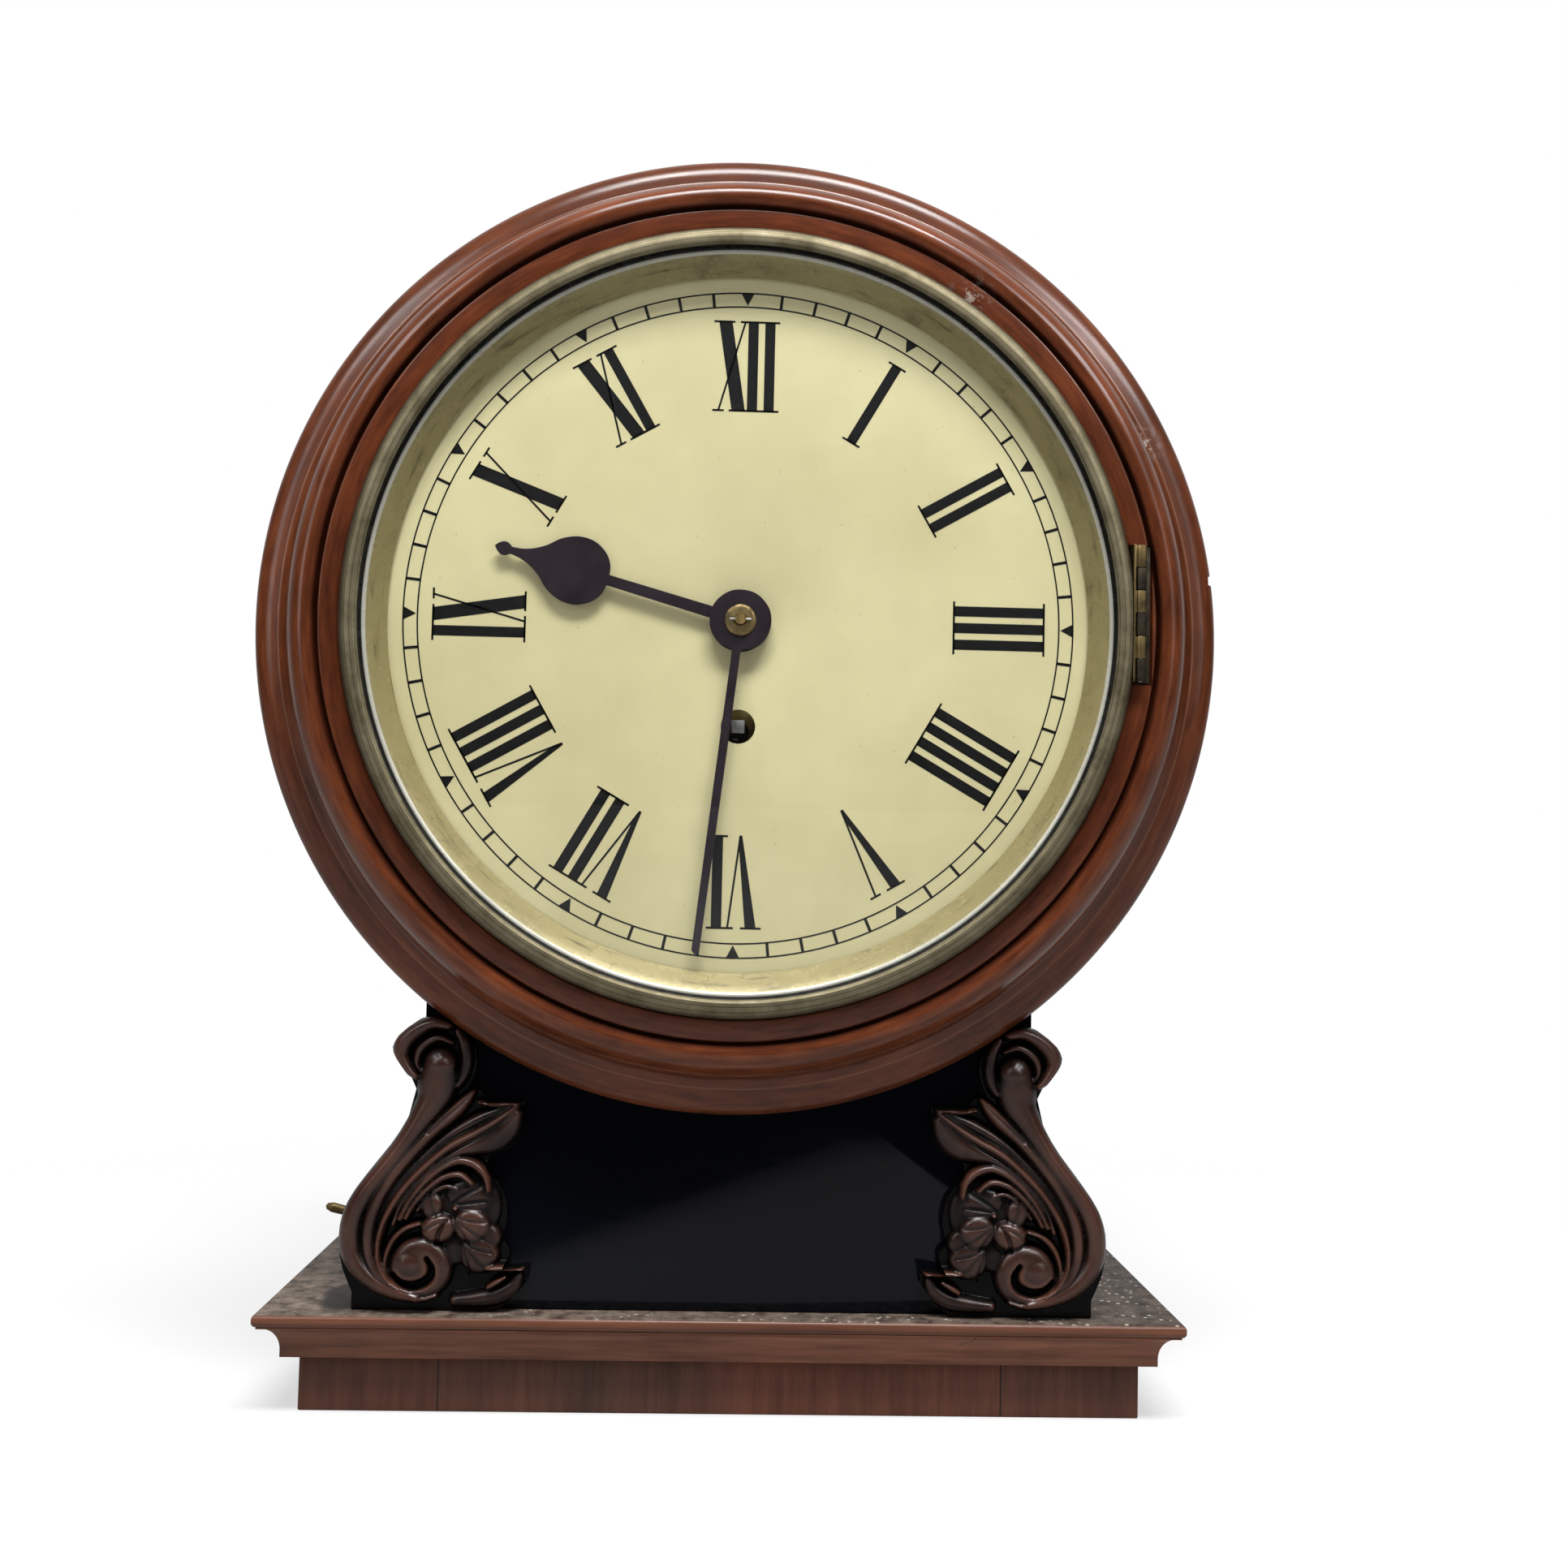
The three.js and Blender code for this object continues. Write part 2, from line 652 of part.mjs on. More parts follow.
// Drum, the ring that closes its back, and the round back door with its hinge and turn button
function addDrum() {
  const shell = turned(
    [
      [drumRadius - drumWall, drumFront],
      [drumRadius, drumFront],
      [drumRadius, drumBack],
      [drumRadius - drumWall, drumBack],
    ],
    roundSides,
  );
  const slot = box(
    [-pendulumSlotHalfWidth, pendulumSlotHalfWidth],
    [suspensionDepth - pendulumSlotLength / 2, suspensionDepth + pendulumSlotLength / 2],
    [-drumRadius - 1, -drumRadius / 2],
  );
  piece(head, "drum_shell", cut(shell, slot), darkMahogany);

  const ring = turned(
    [
      [backOpening, backRingFront],
      [drumRadius, backRingFront],
      [drumRadius, caseBack],
      [backOpening, caseBack],
    ],
    roundSides,
  );
  const screwHole = rod(buttonScrew + fitGap, backRingFront - 1, caseBack + 1, -buttonRadius, 0);
  piece(head, "drum_back_ring", cut(ring, screwHole), darkMahogany);

  const doorStart = caseBack - backDoorThickness;
  const doorPanel = turned(
    [
      [0, doorStart],
      [backDoorRadius, doorStart],
      [backDoorRadius, caseBack],
      [backDoorRadius - backDoorRim, caseBack],
      [backDoorRadius - backDoorRim - backDoorSlope, caseBack - backDoorSinking],
      [0, caseBack - backDoorSinking],
    ],
    roundSides,
  );
  piece(head, "back_door", doorPanel, darkMahogany);

  const buttonFront = caseBack + fitGap;
  const bar = box(
    [-buttonRadius - buttonWidth / 2, -buttonRadius + buttonWidth / 2],
    [buttonFront, buttonFront + buttonThickness],
    [-buttonReach, buttonReach],
  );
  const screwEnd = buttonFront + buttonThickness + buttonScrewHead;
  const screw = rod(buttonScrew, backRingFront + fitGap, screwEnd, -buttonRadius, 0);
  piece(head, "back_turn_button", join(bar, screw), brass);

  // The barrel stands behind the back face, on the side of the door away from the button.
  const hinge = new THREE.Group();
  hinge.position.set(backDoorRadius + backDoorGap / 2, caseBack + doorHingeLift, 0);
  hinge.rotation.z = -Math.PI / 2;
  head.add(hinge);
  buttHinge(hinge, "back_hinge", backHingeLength);
}

// Dial surround: one turned ring, recessed at three o'clock for the hinge leaf
function addSurround() {
  // The ovolo is an elliptical round: its crest a quarter of the way out, its foot at the first arris.
  const ovoloWidth = ovoloOuter - ovoloInner;
  const crest = 0.24;
  const ovoloRise = (share) =>
    firstArrisFall * (1 - Math.sqrt(1 - ((share - crest) / (1 - crest)) ** 2));
  const ring = turned(
    [
      [surroundBore, -rebateDepth],
      [bandInner, -rebateDepth],
      [bandInner, -bandStandout],
      [bandOuter, -bandStandout + bandSlope],
      [(bandOuter + ovoloInner) / 2, -bandStandout + quirkDepth],
      [ovoloInner, -ovoloStandout + ovoloRise(0)],
      [ovoloInner + ovoloWidth * crest, -ovoloStandout],
      [ovoloInner + ovoloWidth * 0.54, -ovoloStandout + ovoloRise(0.54)],
      [ovoloInner + ovoloWidth * 0.82, -ovoloStandout + ovoloRise(0.82)],
      [ovoloOuter, -ovoloStandout + firstArrisFall],
      [secondArris, surroundBack - secondArrisLift],
      [surroundRadius - beadRounding, surroundBack - beadLift],
      [surroundRadius, surroundBack - beadRounding],
      [surroundRadius - beadRounding / 4, surroundBack],
      [dialRadius + fitGap, surroundBack],
      [dialRadius + fitGap, -fitGap],
      [surroundBore, -fitGap],
    ],
    roundSides,
  );
  const recessHalf = bezelHingeLength / 2 + 2 * fitGap;
  const recess = box(
    [bezelFlat - hingeSweep, bezelHingeX + hingeLeafReach + fitGap],
    [-bandStandout - 1, -rebateDepth],
    [bezelHingeRise - recessHalf, bezelHingeRise + recessHalf],
  );
  piece(head, "dial_surround", cut(ring, recess), mahogany);
}

// Bezel with its glass, the conical sight ring behind the glass, and its hinge
function addBezel() {
  const backEdge = -rebateDepth - fitGap;
  const ring = turned(
    [
      [bezelSeat, backEdge],
      [bezelRadius, backEdge],
      [bezelRadius, -lipStandout + bezelShoulder],
      [bezelRadius - bezelShoulder / 2, -lipStandout],
      [(bezelRadius + bezelLip) / 2, -bezelStandout],
      [bezelLip + lipThickness / 2, -bezelStandout + lipThickness / 4],
      [bezelLip, -lipStandout - lipThickness / 4],
      [bezelLip, -lipStandout],
      [bezelSeat, -lipStandout],
    ],
    roundSides,
  );
  const hingeHalf = bezelHingeLength / 2;
  const flatHalf = hingeHalf + 4 * fitGap;
  const flat = box(
    [bezelFlat, bezelRadius + 1],
    [-bezelStandout - 1, 0],
    [bezelHingeRise - flatHalf, bezelHingeRise + flatHalf],
  );
  piece(head, "bezel", cut(ring, flat), brass);

  const glassFront = -lipStandout + fitGap;
  const glassBack = glassFront + glassThickness;
  piece(head, "bezel_glass", rod(bezelSeat - fitGap, glassFront, glassBack, 0, 0, roundSides), glass);

  const flange = glassBack + fitGap;
  const sightRing = turned(
    [
      [bezelSeat - fitGap, flange],
      [sightRingHead, flange],
      [visibleDialRadius, -sightRingLift],
      [visibleDialRadius + sightRingThickness, -sightRingLift + sightRingThickness / 3],
      [sightRingHead + sightRingThickness, flange + sightRingThickness],
      [bezelSeat - fitGap, flange + sightRingThickness],
    ],
    roundSides,
  );
  piece(head, "sight_ring", sightRing, brass);

  const axis = -bezelHingeStandout;
  const pitch = bezelHingeLength / bezelKnuckles;
  const low = (i) => bezelHingeRise - hingeHalf + i * pitch + fitGap / 2;
  const high = (i) => low(i) + pitch - fitGap;
  const barrel = (i) => uprightRod(bezelBarrel, low(i), high(i), bezelHingeX, axis);
  const pinLow = bezelHingeRise - hingeHalf;
  const pinHigh = bezelHingeRise + hingeHalf;
  const bore = uprightRod(hingePinRadius + hingePinPlay, pinLow - 1, pinHigh + 1, bezelHingeX, axis);

  // Fixed leaf, let into the surround, with every other knuckle from the bottom
  const leafBack = -rebateDepth - fitGap;
  const leafFront = leafBack - hingeLeafThickness;
  let fixed = box(
    [bezelHingeX - bezelBarrel / 4, bezelHingeX + hingeLeafReach - fitGap],
    [leafFront, leafBack],
    [pinLow, pinHigh],
  );
  // Moving leaf, on the flat of the bezel's edge
  const movingFrom = bezelFlat + fitGap;
  const movingTo = movingFrom + bezelLeafThickness;
  let moving = box([movingFrom, movingTo], [axis - bezelBarrel, backEdge - fitGap], [pinLow, pinHigh]);
  for (let i = 0; i < bezelKnuckles; i++) {
    if (i % 2 === 0) {
      const foot = box(
        [bezelHingeX - bezelBarrel / 4, bezelHingeX + bezelBarrel * 0.75],
        [axis, leafBack],
        [low(i), high(i)],
      );
      fixed = join(fixed, foot, barrel(i));
    } else {
      const tab = box(
        [movingFrom, bezelHingeX - bezelBarrel / 2],
        [axis - bezelBarrel / 2, axis + bezelBarrel / 2],
        [low(i), high(i)],
      );
      moving = join(moving, tab, barrel(i));
    }
  }
  piece(head, "surround_hinge_leaf", cut(fixed, bore), agedBrass);
  piece(head, "bezel_hinge_leaf", cut(moving, bore), brass);
  piece(head, "bezel_hinge_pin", uprightRod(hingePinRadius, pinLow, pinHigh, bezelHingeX, axis), steel);
}

// The tapered pin lies across the centre arbor, just in front of the collet.
const colletFront = -minuteHandStandout - handThickness - fitGap - colletHeight;
const crossPinDepth = colletFront - seamGap - crossPinRadius;
const acrossArbor = (body) => body.rotate([0, 0, 90]).translate([0, crossPinDepth, 0]);

// Dial plate with its riveted feet, the hands, and the collet and pin that hold them
function addDial() {
  const plate = rod(dialRadius, 0, dialThickness, 0, 0, roundSides);
  const feet = [];
  for (const x of [-dialFootX, dialFootX]) {
    for (const z of [-dialFootZ, dialFootZ]) {
      feet.push(rod(dialFootRadius, dialThickness / 2, dialThickness + dialFootLength, x, z, fineSides));
    }
  }
  const holes = [
    rod(centreHole, -1, dialThickness + 1),
    rod(windingHole, -1, dialThickness + 1, 0, -windingDrop),
  ];
  piece(head, "dial_plate", cut(join(plate, ...feet), ...holes), dialPaint);

  // Hands are drawn pointing at twelve and turned to the time.
  const hand = (name, degrees, shape, standout, boreRadius) => {
    const pointer = slab(shape, -standout - handThickness, -standout, 8);
    const boss = rod(handBoss, -standout - handThickness, -standout, 0, 0, middleSides);
    const bore = rod(boreRadius, -standout - handThickness - 1, -standout + 1, 0, 0, middleSides);
    const turn = new THREE.Group();
    turn.rotation.y = THREE.MathUtils.degToRad(degrees);
    head.add(turn);
    piece(turn, name, cut(join(pointer, boss), bore), bluedSteel);
  };
  const bulbStart = hourBulbDistance - hourBulbRadius;
  const bulbEnd = hourBulbDistance + 1.5 * hourBulbRadius;
  const bulbBelly = hourBulbDistance + hourBulbRadius / 2;
  const lowBulge = 1.1 * hourBulbRadius; // pulls of the curve at each end of the bulb
  const highBulge = 1.35 * hourBulbRadius;
  const hour = new THREE.Shape();
  hour.moveTo(-hourShaft / 2, handBoss / 2);
  hour.lineTo(-hourShaft / 2, bulbStart);
  hour.bezierCurveTo(-lowBulge, bulbStart, -highBulge, bulbBelly, -hourNeck / 2, bulbEnd);
  hour.lineTo(-hourTip / 2, hourHandLength - hourTip);
  hour.lineTo(-hourTip / 4, hourHandLength);
  hour.lineTo(hourTip / 4, hourHandLength);
  hour.lineTo(hourTip / 2, hourHandLength - hourTip);
  hour.lineTo(hourNeck / 2, bulbEnd);
  hour.bezierCurveTo(highBulge, bulbBelly, lowBulge, bulbStart, hourShaft / 2, bulbStart);
  hour.lineTo(hourShaft / 2, handBoss / 2);
  hand("hour_hand", hourAngle, hour, hourHandStandout, hourPipe - pipeShoulder + pipePlay);

  const minute = polygon([
    [-minuteHandRoot / 2, handBoss / 2],
    [-minuteHandTip / 2, minuteHandLength],
    [minuteHandTip / 2, minuteHandLength],
    [minuteHandRoot / 2, handBoss / 2],
  ]);
  hand("minute_hand", minuteAngle, minute, minuteHandStandout, cannonPipe - pipeShoulder + pipePlay);

  const colletBack = colletFront + colletHeight;
  const collet = turned(
    [
      [arborRadius + pipePlay, colletBack],
      [colletRadius, colletBack],
      [colletRadius - colletHeight / 2, colletBack - colletHeight / 2],
      [arborRadius + pipePlay, colletFront],
    ],
    middleSides,
  );
  piece(head, "hand_collet", collet, brass);
  const pin = rod(crossPinRadius, -crossPinLength / 2, crossPinLength / 2, 0, 0, fineSides);
  piece(head, "hand_pin", acrossArbor(pin), steel);
}

// An involute pinion outline centred on the origin, with one leaf at the given angle. A wheel's teeth are
// the same but run to a point, as clock teeth do.
function toothedOutline(teeth, module, phase, pointed) {
  const pitch = (teeth * module) / 2;
  const base = pitch * Math.cos(pressureAngle);
  const tip = pitch + addendum * module;
  const root = pitch - dedendum * module;
  const involute = (angle) => Math.tan(angle) - angle;
  const halfTooth = (radius) => {
    const turn = Math.acos(base / Math.max(radius, base));
    const atPitch = Math.PI / (2 * teeth) - toothThinning / (2 * pitch);
    return atPitch + involute(pressureAngle) - involute(turn);
  };
  const flank = pointed ? [root] : [root, pitch, tip];
  const points = [];
  const polar = (radius, angle) => [radius * Math.cos(angle), radius * Math.sin(angle)];
  for (let k = 0; k < teeth; k++) {
    const middle = phase + (2 * Math.PI * k) / teeth;
    for (const radius of flank) points.push(polar(radius, middle - halfTooth(radius)));
    if (pointed) points.push(polar(tip, middle));
    for (const radius of [...flank].reverse()) points.push(polar(radius, middle + halfTooth(radius)));
  }
  return polygon(points);
}

// Openings between the arms of a wheel
function crossOut(shape, rimInner) {
  for (let k = 0; k < wheelArms; k++) {
    const middle = (2 * Math.PI * (k + 0.5)) / wheelArms;
    const half = (radius) => Math.PI / wheelArms - armWidth / (2 * radius);
    const arc = (radius, steps) =>
      Array.from({ length: steps }, (_, i) => {
        const angle = middle + half(radius) * ((2 * i) / (steps - 1) - 1);
        return new THREE.Vector2(radius * Math.cos(angle), radius * Math.sin(angle));
      });
    shape.holes.push(new THREE.Path([...arc(wheelHub, 2), ...arc(rimInner, 4).reverse()]));
  }
  return shape;
}

const at = (body, x, z) => body.translate([x, 0, z]);

// Phase of a gear that has a space facing back along the line of centres, for the tooth of its driver
const spaceAt = (angle, teeth) => angle + Math.PI + Math.PI / teeth;

function wheel(teeth, module, phase, front, thickness, x, z) {
  const outline = toothedOutline(teeth, module, phase, true);
  const rimInner = (teeth * module) / 2 - dedendum * module - wheelRim;
  return at(slab(crossOut(outline, rimInner), front, front + thickness), x, z);
}
const pinion = (leaves, module, phase, front, back, x, z) =>
  at(slab(toothedOutline(leaves, module, phase, false), front, back), x, z);

// Where the arbors stand, seen from the front, with the dial's centre as origin
const greatModule = (2 * windingDrop) / (greatTeeth + centreLeaves);
const thirdDistance = ((centreTeeth + thirdLeaves) * trainModule) / 2;
const escapeDistance = ((thirdTeeth + escapeLeaves) * trainModule) / 2;
const thirdArborZ = Math.sqrt(thirdDistance ** 2 - thirdArborX ** 2);
const escapeArborZ = thirdArborZ + Math.sqrt(escapeDistance ** 2 - thirdArborX ** 2);
const motionDistance = ((cannonTeeth + minuteTeeth) * motionModule) / 2;
const hourModule = (2 * motionDistance) / (hourTeeth + minuteLeaves);
const minuteWheelTurn = THREE.MathUtils.degToRad(minuteWheelAngle);
const minuteWheelX = motionDistance * Math.cos(minuteWheelTurn);
const minuteWheelZ = motionDistance * Math.sin(minuteWheelTurn);

// Plates and pillars, with holes for the arbors that pass through and the riveted stud of the minute wheel
function addMovementFrame() {
  const half = pillarX + plateMargin;
  const corner = Math.hypot(pillarX, pillarLow) + plateCornerMargin;
  const plate = (front) => {
    const depths = [front, front + plateThickness];
    const blank = box([-half, half], depths, [-pillarLow - plateMargin, pillarHigh + plateMargin]);
    return blank.intersect(rod(corner, depths[0] - 1, depths[1] + 1, 0, 0, roundSides));
  };
  const through = (radius, x, z) => rod(radius, 0, backPlateBack + 5, x, z);
  const frontHoles = [
    through(arborRadius + fitGap, 0, 0),
    through(fuseeArborRadius + fitGap, 0, -windingDrop),
  ];
  const stud = rod(studRadius, dialThickness + hourWheelLift, trainFront - 1, minuteWheelX, minuteWheelZ);
  piece(head, "front_plate", join(cut(plate(frontPlateFront), ...frontHoles), stud), brass);
  piece(head, "back_plate", cut(plate(trainBack), through(arborRadius + 1, 0, palletRise)), brass);
  const corners = [
    [-pillarX, pillarHigh],
    [pillarX, pillarHigh],
    [-pillarX, -pillarLow],
    [pillarX, -pillarLow],
  ];
  corners.forEach(([x, z], i) => {
    const pillar = turned(
      [
        [0, trainFront + seamGap],
        [pillarRadius, trainFront + seamGap],
        [pillarRadius, trainFront + pillarShoulder],
        [pillarWaist, trainFront + pillarShoulder + pillarTaper],
        [pillarWaist, trainBack - pillarShoulder - pillarTaper],
        [pillarRadius, trainBack - pillarShoulder],
        [pillarRadius, trainBack - seamGap],
        [0, trainBack - seamGap],
      ],
      smallSides,
      x,
      z,
    );
    piece(head, `pillar_${i + 1}`, pillar, brass);
  });
}

// Great wheel to escape wheel. On each line of centres the driver has a tooth and the pinion a space.
function addTrain() {
  const arborEnds = [trainFront + fitGap, trainBack - fitGap];
  const pinionSpan = (offset, thickness) => [
    trainFront + offset - pinionMargin,
    trainFront + offset + thickness + pinionMargin,
  ];

  const upright = Math.PI / 2;
  const greatFront = trainFront + greatWheelOffset;
  const great = wheel(greatTeeth, greatModule, upright, greatFront, greatWheelThickness, 0, -windingDrop);
  const greatBore = rod(fuseeArborRadius + fitGap, trainFront, trainBack, 0, -windingDrop);
  piece(head, "great_wheel", cut(great, greatBore), brass);

  const toThird = Math.atan2(thirdArborZ, thirdArborX);
  const centreSpan = pinionSpan(greatWheelOffset, greatWheelThickness);
  const centreFront = trainFront + centreWheelOffset;
  const centre = join(
    rod(arborRadius, colletFront - arborTail, arborEnds[1]),
    pinion(centreLeaves, greatModule, spaceAt(upright, centreLeaves), ...centreSpan, 0, 0),
    wheel(centreTeeth, trainModule, toThird, centreFront, wheelThickness, 0, 0),
  );
  const pinHole = rod(crossPinRadius + hingePinPlay, -arborRadius * 2, arborRadius * 2, 0, 0, fineSides);
  piece(head, "centre_wheel", cut(centre, acrossArbor(pinHole)), brass);

  const toEscape = Math.atan2(escapeArborZ - thirdArborZ, -thirdArborX);
  const thirdSpan = pinionSpan(centreWheelOffset, wheelThickness);
  const thirdFront = trainFront + thirdWheelOffset;
  const thirdSpace = spaceAt(toThird, thirdLeaves);
  const third = join(
    rod(pinionArborRadius, ...arborEnds, thirdArborX, thirdArborZ),
    pinion(thirdLeaves, trainModule, thirdSpace, ...thirdSpan, thirdArborX, thirdArborZ),
    wheel(thirdTeeth, trainModule, toEscape, thirdFront, wheelThickness, thirdArborX, thirdArborZ),
  );
  piece(head, "third_wheel", third, brass);

  // Escape wheel with raked teeth
  const points = [];
  for (let k = 0; k < escapeTeeth; k++) {
    const angle = (2 * Math.PI * k) / escapeTeeth;
    const step = (2 * Math.PI) / escapeTeeth;
    for (const [radius, share] of [
      [escapeRadius - escapeToothDepth, 0],
      [escapeRadius, escapeToothRake],
      [escapeRadius - escapeToothDepth, escapeToothRake + escapeToothBack],
    ]) {
      const turn = angle + share * step;
      points.push([radius * Math.cos(turn), radius * Math.sin(turn)]);
    }
  }
  const escapeShape = crossOut(polygon(points), escapeRadius - escapeToothDepth - wheelRim / 2);
  const escapeFront = trainFront + escapeWheelOffset;
  const escapeSpan = pinionSpan(thirdWheelOffset, wheelThickness);
  const escape = join(
    rod(pinionArborRadius, ...arborEnds, 0, escapeArborZ),
    pinion(escapeLeaves, trainModule, spaceAt(toEscape, escapeLeaves), ...escapeSpan, 0, escapeArborZ),
    at(slab(escapeShape, escapeFront, escapeFront + wheelThickness), 0, escapeArborZ),
  );
  piece(head, "escape_wheel", escape, brass);
}

// Cannon pinion, minute wheel on its stud, and hour wheel, which drive the hands
function addMotionWork() {
  const cannonFront = dialThickness + cannonLift;
  const cannonBack = cannonFront + motionWheelThickness;
  const pipeBore = arborRadius + pipePlay;
  const cannon = cut(
    join(
      pinion(cannonTeeth, motionModule, minuteWheelTurn, cannonFront, cannonBack, 0, 0),
      rod(cannonPipe, -hourHandStandout - handThickness - fitGap, cannonBack),
      rod(cannonPipe - pipeShoulder, -minuteHandStandout - handThickness, cannonFront),
    ),
    rod(pipeBore, -bezelStandout, cannonBack + fitGap),
  );
  piece(head, "cannon_pinion", cannon, steel);

  const hourFront = dialThickness + hourWheelLift;
  const hourBack = hourFront + motionWheelThickness;
  const wheelPhase = spaceAt(minuteWheelTurn, minuteTeeth);
  const leafPhase = spaceAt(minuteWheelTurn, minuteLeaves);
  const leafFront = hourFront - minuteLeafMargin;
  const minuteWheelAt = [minuteWheelX, minuteWheelZ];
  const minute = cut(
    join(
      wheel(minuteTeeth, motionModule, wheelPhase, cannonFront, motionWheelThickness, ...minuteWheelAt),
      pinion(minuteLeaves, hourModule, leafPhase, leafFront, cannonFront + seamGap, ...minuteWheelAt),
    ),
    rod(studRadius + pipePlay, 0, trainFront, ...minuteWheelAt),
  );
  piece(head, "minute_wheel", minute, brass);
  const hour = cut(
    join(
      wheel(hourTeeth, hourModule, minuteWheelTurn, hourFront, motionWheelThickness, 0, 0),
      rod(hourPipe, -hourHandStandout + fitGap, hourBack),
      rod(hourPipe - pipeShoulder, -hourHandStandout - handThickness, hourFront),
    ),
    rod(cannonPipe + pipePlay, -bezelStandout, hourBack + fitGap),
  );
  piece(head, "hour_wheel", hour, brass);
}

// Spring barrel with its cover, mainspring and arbor, and the fusee with its winding square and line
function addPower() {
  const front = trainFront + barrelOffset;
  const back = front + barrelLength;
  const wallInner = barrelRadius - barrelWall;
  const arborBore = barrelArborRadius + fitGap;
  const barrel = turned(
    [
      [arborBore, back - barrelWall],
      [wallInner, back - barrelWall],
      [wallInner, front],
      [barrelRadius, front],
      [barrelRadius, back],
      [arborBore, back],
    ],
    middleSides,
    barrelX,
    barrelZ,
  );
  piece(head, "barrel", barrel, brass);
  const cover = turned(
    [
      [arborBore, front],
      [wallInner - fitGap, front],
      [wallInner - fitGap, front + barrelWall],
      [arborBore, front + barrelWall],
    ],
    middleSides,
    barrelX,
    barrelZ,
  );
  piece(head, "barrel_cover", cover, brass);
  const arbor = rod(barrelArborRadius, trainFront + fitGap, trainBack - fitGap, barrelX, barrelZ);
  piece(head, "barrel_arbor", arbor, steel);

  // Mainspring: a spiral strip between the arbor and the barrel's wall
  const springInner = barrelArborRadius + fitGap;
  const springOuter = wallInner - fitGap - springThickness;
  const steps = springTurns * 10;
  const spiral = (offset) =>
    Array.from({ length: steps + 1 }, (_, i) => {
      const share = i / steps;
      const angle = share * springTurns * 2 * Math.PI;
      const radius = springInner + (springOuter - springInner) * share + offset;
      return [radius * Math.cos(angle), radius * Math.sin(angle)];
    });
  const strip = polygon([...spiral(0), ...spiral(springThickness).reverse()]);
  const spring = slab(strip, front + barrelWall + springMargin, back - barrelWall - springMargin);
  piece(head, "mainspring", at(spring, barrelX, barrelZ), steel);

  // Fusee: a grooved cone, small end forward, on the winding arbor
  const coneFront = trainFront + fuseeOffset;
  const coneBack = coneFront + fuseeLength;
  const profile = [
    [0, coneFront],
    [fuseeSmall, coneFront],
  ];
  for (let i = 0; i < fuseeGrooves; i++) {
    const share = (i + 0.5) / fuseeGrooves;
    const ridge = (i + 1) / fuseeGrooves;
    const radiusAt = (s) => fuseeSmall + (fuseeLarge - fuseeSmall) * s * s;
    profile.push([radiusAt(share) - grooveDepth, coneFront + fuseeLength * share]);
    profile.push([radiusAt(ridge), coneFront + fuseeLength * ridge]);
  }
  profile.push([0, coneBack]);
  const squareEnd = fitGap; // just behind the dial face, inside its winding hole
  const half = windingSquare / 2;
  const fusee = join(
    turned(profile, middleSides, 0, -windingDrop),
    rod(fuseeArborRadius, squareEnd + squareLength, trainBack - fitGap, 0, -windingDrop),
    box([-half, half], [squareEnd, squareEnd + squareLength + 1], [-windingDrop - half, -windingDrop + half]),
  );
  piece(head, "fusee", fusee, steel);

  // Line: its straight run, tangent to the barrel and to the middle of the cone
  const share = 0.5;
  const grooveRadius = fuseeSmall + (fuseeLarge - fuseeSmall) * share * share;
  const run = new THREE.Vector2(-barrelX, -windingDrop - barrelZ);
  const stand = fitGap + lineRadius;
  const lean = Math.asin((barrelRadius - grooveRadius) / run.length());
  const normal = run.angle() - Math.PI / 2 + lean;
  const tangent = (x, z, radius) =>
    new THREE.Vector3(
      x + (radius + stand) * Math.cos(normal),
      coneFront + fuseeLength * share,
      z + (radius + stand) * Math.sin(normal),
    );
  const route = new THREE.LineCurve3(
    tangent(barrelX, barrelZ, barrelRadius),
    tangent(0, -windingDrop, grooveRadius),
  );
  const section = new THREE.Shape().absarc(0, 0, lineRadius, 0, 2 * Math.PI);
  const line = new THREE.ExtrudeGeometry(section, {
    steps: 1,
    extrudePath: route,
    bevelEnabled: false,
    curveSegments: 4,
  });
  piece(head, "fusee_line", solid(line), steel);
}

